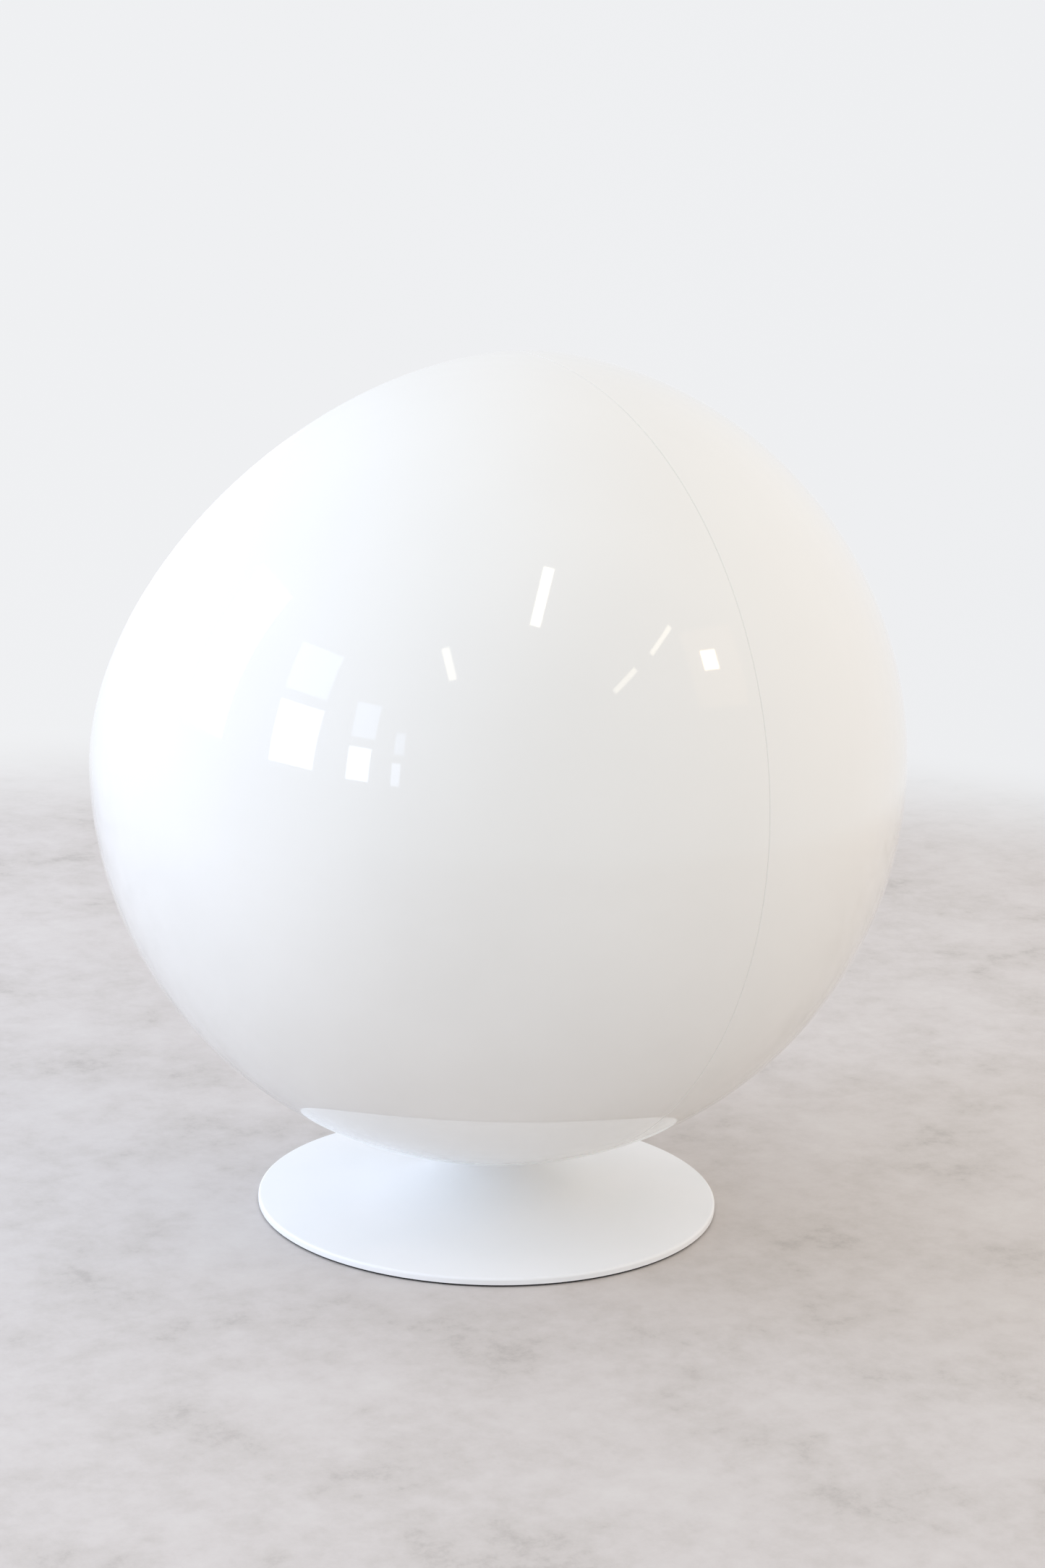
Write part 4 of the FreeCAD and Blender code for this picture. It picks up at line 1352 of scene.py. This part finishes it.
@dataclass
class BackCushion(Cushion):
    """The loose back cushion: a pillow with one piped edge all round, its back hollowed to the
    curve of the ball.

    Args:
        frame: x across, y back through the cushion, z up its front face.
        width: width between the side edges.
        height: height between foot and top.
        foot: gap between the frame's origin and the cushion's foot.
        edge_inset: how far inside its plain solid the piped edge lies.
        back_gap: gap between its back and the lining, before it is blown up.
        set_back: how far both faces lie inside the plain solid, before it is blown up.
        edge_sharpness: power of share by which the faces close on the piped edge.
    """

    frame: SlopedFrame | None = None
    width: float = 480 * MM
    height: float = 430 * MM
    foot: float = 9 * MM
    edge_inset: float = 8 * MM
    back_gap: float = 3 * MM
    set_back: float = 15 * MM
    edge_sharpness: int = 10

    def depth(self, flat: Array) -> Array:
        """How far back the lining's sphere lies behind points of the front face: the far root
        of the quadratic for a straight line meeting a sphere.

        Args:
            flat: points of the front face, in the cushion's frame.

        Returns:
            The distance behind each point.
        """
        near = flat - self.frame.local(self.ball.centre)
        b = near[..., 1]
        return -b + np.sqrt(b ** 2 - np.sum(near ** 2, -1) + (self.reach - self.back_gap) ** 2)

    def face(self, share: float, steps: int = RING_POINTS) -> Array:
        """A rounded rectangle on the front face: a superellipse of power nine, whose half
        sizes are a share of the cushion's.

        Args:
            share: share of the full size.
            steps: how many points it has.

        Returns:
            The points, in the cushion's frame.
        """
        angle = full_turn(steps) + 0.01
        c, s = np.cos(angle), np.sin(angle)
        reach = share * (np.abs(c) ** 9 + np.abs(s) ** 9) ** (-1 / 9)
        half_w = self.width / 2 - self.edge_inset
        half_h = (self.height - self.foot) / 2 - self.edge_inset
        middle = (self.height + self.foot) / 2
        return np.stack([half_w * reach * c, 0 * c, middle + half_h * reach * s], -1)

    def edge(self, steps: int = RING_POINTS) -> Array:
        """The piped edge, halfway between the front and the lining, in the cushion's frame."""
        path = self.face(1.0, steps)
        return path + 0.5 * self.depth(path)[:, None] * np.array([0.0, 1.0, 0.0])

    def seams(self) -> list[Array]:
        """The piped edge."""
        return [self.frame.world(self.edge(720))]

    def blank(self) -> Array:
        """Rings from the middle of the front, out to the piped edge, and back to the middle.

        Each ring lies on its face, plus the distance from there to the piped edge times a high
        power of its share.

        Returns:
            The rings as a grid of points.
        """
        edge = self.edge()
        shares = (0.0, 0.3, 0.6, 0.8, 0.92, 0.98)
        rings = {1: [], -1: []}
        for way, made in rings.items():
            for share in shares:
                ring = self.face(share)
                flat = self.set_back if way > 0 else self.depth(ring) - self.set_back
                ring[:, 1] = flat + (edge[:, 1] - flat) * share ** self.edge_sharpness
                made.append(ring)
        return self.frame.world(np.stack([*rings[1], edge, *rings[-1][::-1]]))

    def limit(self, points: Array, clear: float = 0.0) -> Array:
        """Inside the lining, and clear of the seat cushion under it.

        Args:
            points: N by 3 places.
            clear: how much further from the lining they stay.

        Returns:
            The places, moved where they had to be.
        """
        flat = self.frame.local(super().limit(points, clear))
        flat[:, 2] = np.maximum(flat[:, 2], self.foot - 3 * MM)
        return self.frame.world(flat)


@dataclass
class Upholstery:
    """Lining, welt and cushions.

    Args:
        ball: where the ball and its opening are.
        deck_rise: bottom of the ball to the deck's top at the swivel axis.
        deck_tilt: fall of the deck to the back, in degrees.
        back_front: swivel axis to the foot of the back cushion's front face.
        back_lean: lean of the back cushion, in degrees.
    """

    ball: BallFrame
    deck_rise: float = 169.5 * MM
    deck_tilt: float = 6.0
    back_front: float = 300 * MM
    back_lean: float = 12.0

    def welt(self) -> None:
        """The piping that covers the joint between the moulded rim and the lining."""
        turn = full_turn(720)
        across = np.full_like(turn, self.ball.welt_ring)
        path = self.ball.ring(across, np.full_like(turn, self.ball.welt_offset), turn)
        cord = finish_piece(piped_cord("rim_piping", path, self.ball.welt_radius), PIPING)
        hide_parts("rim_welt")

    def build(self) -> None:
        """Make every soft piece."""
        floor = self.ball.centre[2] - self.ball.radius
        deck = SlopedFrame(np.array([0, 0, floor + self.deck_rise]), math.radians(self.deck_tilt))
        SewnLining(self.ball, deck).build()
        self.welt()
        seat = SeatCushion("seat_cushion_stuffed", "seat_cushion", self.ball, 0.75, deck=deck)
        seat.build()
        top = deck.origin[2] + (seat.lift + seat.thickness) / math.cos(deck.lean)
        foot = np.array([0, self.back_front, top - self.back_front * math.tan(deck.lean)])
        BackCushion("back_cushion_stuffed", "back_cushion", self.ball, 0.7,
                    frame=SlopedFrame(foot, math.radians(self.back_lean))).build()


# ---------------------------------------------------------------------------------------------
# Stage, light and camera
# ---------------------------------------------------------------------------------------------
AIM = (0, 0, 0.5)         # every soft light faces the ball's lower half
DAYLIGHT = "#D3E3FF"
SKY = "#C4DCFF"           # upper panes show blue sky
TUBE = "#FFF6DC"
WARM = "#FFD8A8"
CREAM = "#FFE5C9"


@dataclass(frozen=True)
class Panel:
    """One rectangular soft light, aimed at the chair.

    Args:
        name: what it stands for in the room.
        place: to the camera's right, away from the camera, and above the floor.
        size: width and height.
        glow: brightness of its face, where 1 is as bright as a lit white wall.
        colour: its light's colour.
        lean: degrees that its height leans over, clockwise as the chair sees it.
        mirrored: whether polished surfaces show it. A wide soft bounce isn't shown.
    """

    name: str
    place: tuple[float, float, float]
    size: tuple[float, float]
    glow: float
    colour: str
    lean: float = 0.0
    mirrored: bool = True


@dataclass
class Studio:
    """A plain pale floor, soft light from large panels, and the camera.

    Args:
        floor_radius: radius of the floor.
        camera_distance: swivel axis to the camera, on the level.
        camera_height: floor to the camera.
        camera_azimuth: degrees that the camera stands round from straight in front.
        pitch: degrees that it looks down.
        yaw: degrees that it looks to the right of the swivel axis.
        roll: degrees that it leans.
        lens: its focal length in millimetres.
        floor_near: distance at which the floor starts to turn into the backdrop.
        floor_far: distance at which it has.
        backdrop: the backdrop's colour.
        room_dim: brightness of the room behind the camera.
        room_bright: brightness of the backdrop.
        panels: the soft lights.
    """

    floor_radius: float = 14.0
    camera_distance: float = 4.0
    camera_height: float = 1.526
    camera_azimuth: float = 142.9
    pitch: float = 13.06
    yaw: float = 0.48
    roll: float = 1.66
    lens: float = 69.43
    floor_near: float = 2.1
    floor_far: float = 3.2
    backdrop: str = "#F3F4F6"
    room_dim: float = 0.86
    room_bright: float = 0.97
    panels: tuple[Panel, ...] = (
        Panel("window_beside", (-3.9, -0.4, 2.2), (1.15, 2.5), 7.5, DAYLIGHT),
        Panel("window_behind", (-2.6, 2.4, 1.9), (1.6, 2.2), 1.9, DAYLIGHT),
        Panel("window_near_low", (-3.95, -2.8, 1.6), (1.12, 1.2), 5.2, DAYLIGHT),
        Panel("window_near_high", (-3.7, -2.6, 2.86), (1.12, 0.95), 1.4, SKY),
        Panel("window_middle_low", (-3.8, -5.15, 1.49), (0.68, 0.9), 4.8, DAYLIGHT),
        Panel("window_middle_high", (-3.65, -5.0, 2.67), (0.74, 0.95), 1.3, SKY),
        Panel("window_end_low", (-3.55, -7.1, 1.49), (0.32, 0.8), 2.0, DAYLIGHT),
        Panel("window_end_high", (-3.45, -7.0, 2.56), (0.36, 0.75), 1.2, SKY),
        Panel("tube_near", (0.61, -2.26, 3.71), (0.17, 1.1), 5.0, TUBE, 21),
        Panel("tube_left", (-0.94, -3.42, 3.1), (0.15, 0.64), 2.6, TUBE, -22),
        Panel("tube_right", (3.18, -2.51, 3.68), (0.1, 0.84), 2.6, TUBE, 60),
        Panel("tube_far", (2.95, -3.97, 3.46), (0.13, 0.83), 2.2, TUBE, 57),
        Panel("roof_window", (3.53, -1.63, 2.61), (1.2, 1.36), 0.32, WARM, 11),
        Panel("low_sun", (3.5, -1.71, 2.79), (0.34, 0.34), 12.0, WARM, 11),
        Panel("warm_drapes", (4.4, 0.6, 2.4), (3.4, 3.4), 1.15, CREAM, mirrored=False),
    )

    def view_way(self, right: float, away: float) -> tuple:
        """A level direction given as seen by the camera, at length one."""
        return tuple(unit(np.array(self.view_place(right, away, 0.0))))

    def room_light(self, tree: Tree, way: Socket) -> Socket:
        """Brightness of the room in each direction: a white backdrop on one side, a dimmer
        room on the other, and an even change from one to the other.

        Args:
            tree: the node tree of the world, or of the floor that runs into it.
            way: a direction of length one.

        Returns:
            The brightness.
        """
        facing = add(tree, "VectorMath", {"operation": "DOT_PRODUCT"}, in_0=way,
                     in_1=self.view_way(-0.55, 0.83))
        level = add(tree, "MapRange", Value=facing.outputs["Value"], From_Min=-1.0, From_Max=1.0,
                    To_Min=self.room_dim, To_Max=self.room_bright)
        return level.outputs["Result"]

    def floor(self) -> None:
        """A pale floor that turns into the bright backdrop with distance, so it has no edge."""
        ring = full_turn(96)
        points = np.stack([np.cos(ring), np.sin(ring), 0 * ring], -1) * self.floor_radius
        points[:, 2] = -0.5 * MM
        item = make_mesh("studio_floor", points, np.zeros((0, 4), int), [list(range(len(ring)))])
        made = bpy.data.materials.new("pale_sealed_concrete")
        made.use_nodes = True
        tree = made.node_tree
        skin = tree.nodes["Principled BSDF"]
        place = add(tree, "TexCoord").outputs["Object"]
        reach = add(tree, "VectorMath", {"operation": "LENGTH"}, Vector=place)
        away = add(tree, "MapRange", {"interpolation_type": "SMOOTHSTEP"},
                   Value=reach.outputs["Value"], From_Min=self.floor_near, From_Max=self.floor_far)
        trowel = add(tree, "TexNoise", Vector=place, Scale=per_metre(260), Detail=9.0, Roughness=0.68)
        grit = add(tree, "TexNoise", Vector=place, Scale=per_metre(42), Detail=8.0, Roughness=0.75)
        worn = add(tree, "Math", {"operation": "MULTIPLY_ADD"}, in_0=grit.outputs["Fac"], in_1=0.5,
                   in_2=trowel.outputs["Fac"])
        stops = [(0.56, "#BBB5B0"), (0.66, "#CAC4BF"), (0.78, "#D1CBC7"), (0.95, "#D7D2CE")]
        near = add(tree, "ValToRGB", {"stops": stops}, Fac=worn.outputs["Value"])
        tree.links.new(near.outputs["Color"], skin.inputs["Base Color"])
        skin.inputs["Roughness"].default_value = 0.6
        way = add(tree, "VectorMath", {"operation": "NORMALIZE"}, Vector=place)
        glow = add(tree, "Emission", Color=linear(self.backdrop),
                   Strength=self.room_light(tree, way.outputs["Vector"]))
        blend = add(tree, "MixShader", Fac=away.outputs["Result"], in_1=skin.outputs["BSDF"],
                    in_2=glow.outputs["Emission"])
        tree.links.new(blend.outputs["Shader"], tree.nodes["Material Output"].inputs["Surface"])
        item.data.materials.append(made)

    def panel(self, made: Panel) -> None:
        """Put one soft light in the room.

        Args:
            made: its size, place and brightness.
        """
        light = bpy.data.lights.new(made.name, "AREA")
        light.shape = "RECTANGLE"
        light.size, light.size_y = made.size
        light.energy = made.glow * math.pi * made.size[0] * made.size[1]
        light.color = linear(made.colour)[:3]
        item = bpy.data.objects.new(made.name, light)
        place = Vector(self.view_place(*made.place))
        turn = (Vector(AIM) - place).to_track_quat("-Z", "Y")
        lean = Quaternion((0, 0, 1), math.radians(-made.lean))
        item.location = place
        item.rotation_euler = (turn @ lean).to_euler()
        item.visible_glossy = made.mirrored
        bpy.context.scene.collection.objects.link(item)

    def view_place(self, right: float, back: float, height: float) -> tuple:
        """A place given as seen by the camera.

        Args:
            right: to the camera's right of the swivel axis.
            back: away from the camera, past the swivel axis.
            height: above the floor.

        Returns:
            The place in the chair's frame.
        """
        turn = math.radians(self.camera_azimuth)
        return (right * math.cos(turn) - back * math.sin(turn),
                right * math.sin(turn) + back * math.cos(turn), height)

    def lights(self) -> None:
        """A bright backdrop, panes of tall windows on the left, ceiling tubes and low sun."""
        world = bpy.data.worlds.new("soft_room")
        bpy.context.scene.world = world
        world.use_nodes = True
        tree = world.node_tree
        sky = tree.nodes["Background"]
        sky.inputs["Color"].default_value = linear(self.backdrop)
        way = add(tree, "TexCoord").outputs["Generated"]
        tree.links.new(self.room_light(tree, way), sky.inputs["Strength"])
        bpy.context.scene.view_settings.view_transform = "Standard"
        for made in self.panels:
            self.panel(made)

    def camera(self) -> None:
        """The camera, aimed by its yaw, pitch and roll from the swivel axis."""
        yaw, pitch, roll = (math.radians(a) for a in (self.yaw, self.pitch, self.roll))
        turn = math.radians(self.camera_azimuth)
        forward = np.array([math.sin(yaw) * math.cos(pitch), math.cos(yaw) * math.cos(pitch),
                            -math.sin(pitch)])
        right = np.array([math.cos(yaw), -math.sin(yaw), 0.0])
        up = np.cross(right, forward)
        right, up = (math.cos(roll) * right + math.sin(roll) * up,
                     -math.sin(roll) * right + math.cos(roll) * up)
        spin = np.array([[math.cos(turn), -math.sin(turn), 0], [math.sin(turn), math.cos(turn), 0],
                         [0, 0, 1]])
        axes = spin @ np.stack([right, up, -forward], -1)
        place = spin @ np.array([0, -self.camera_distance, self.camera_height])
        matrix = np.eye(4)
        matrix[:3, :3] = axes
        matrix[:3, 3] = place
        eye = bpy.data.cameras.new("camera")
        eye.lens = self.lens
        eye.sensor_width = 36.0
        item = bpy.data.objects.new("camera", eye)
        item.matrix_world = Matrix(matrix.tolist())
        bpy.context.scene.collection.objects.link(item)
        bpy.context.scene.camera = item

    def build(self) -> None:
        """Set the whole studio up."""
        self.floor()
        self.lights()
        self.camera()


def dress_cad_nodes() -> None:
    """Give every carried-over node the finish of its material slot."""
    for row in frame["record"]["subparts"]:
        item = frame["nodes"][row["node"]]
        finish = NODE_FINISH.get(row["node"], SLOT_FINISH[row["material_slot"]])
        item.data.materials.clear()
        item.data.materials.append(finish.material())


def main() -> None:
    """Build the chair, piece by piece, and the studio round it."""
    logging.basicConfig(level=logging.INFO, format="%(name)s: %(message)s")
    dress_cad_nodes()
    ball = BallFrame.from_nodes()
    log.info("ball radius %.4f, welt cord %.4f", ball.radius, ball.welt_radius)
    MouldedShell(ball).build()
    Upholstery(ball).build()
    Studio().build()


if __name__ == "__main__":
    main()
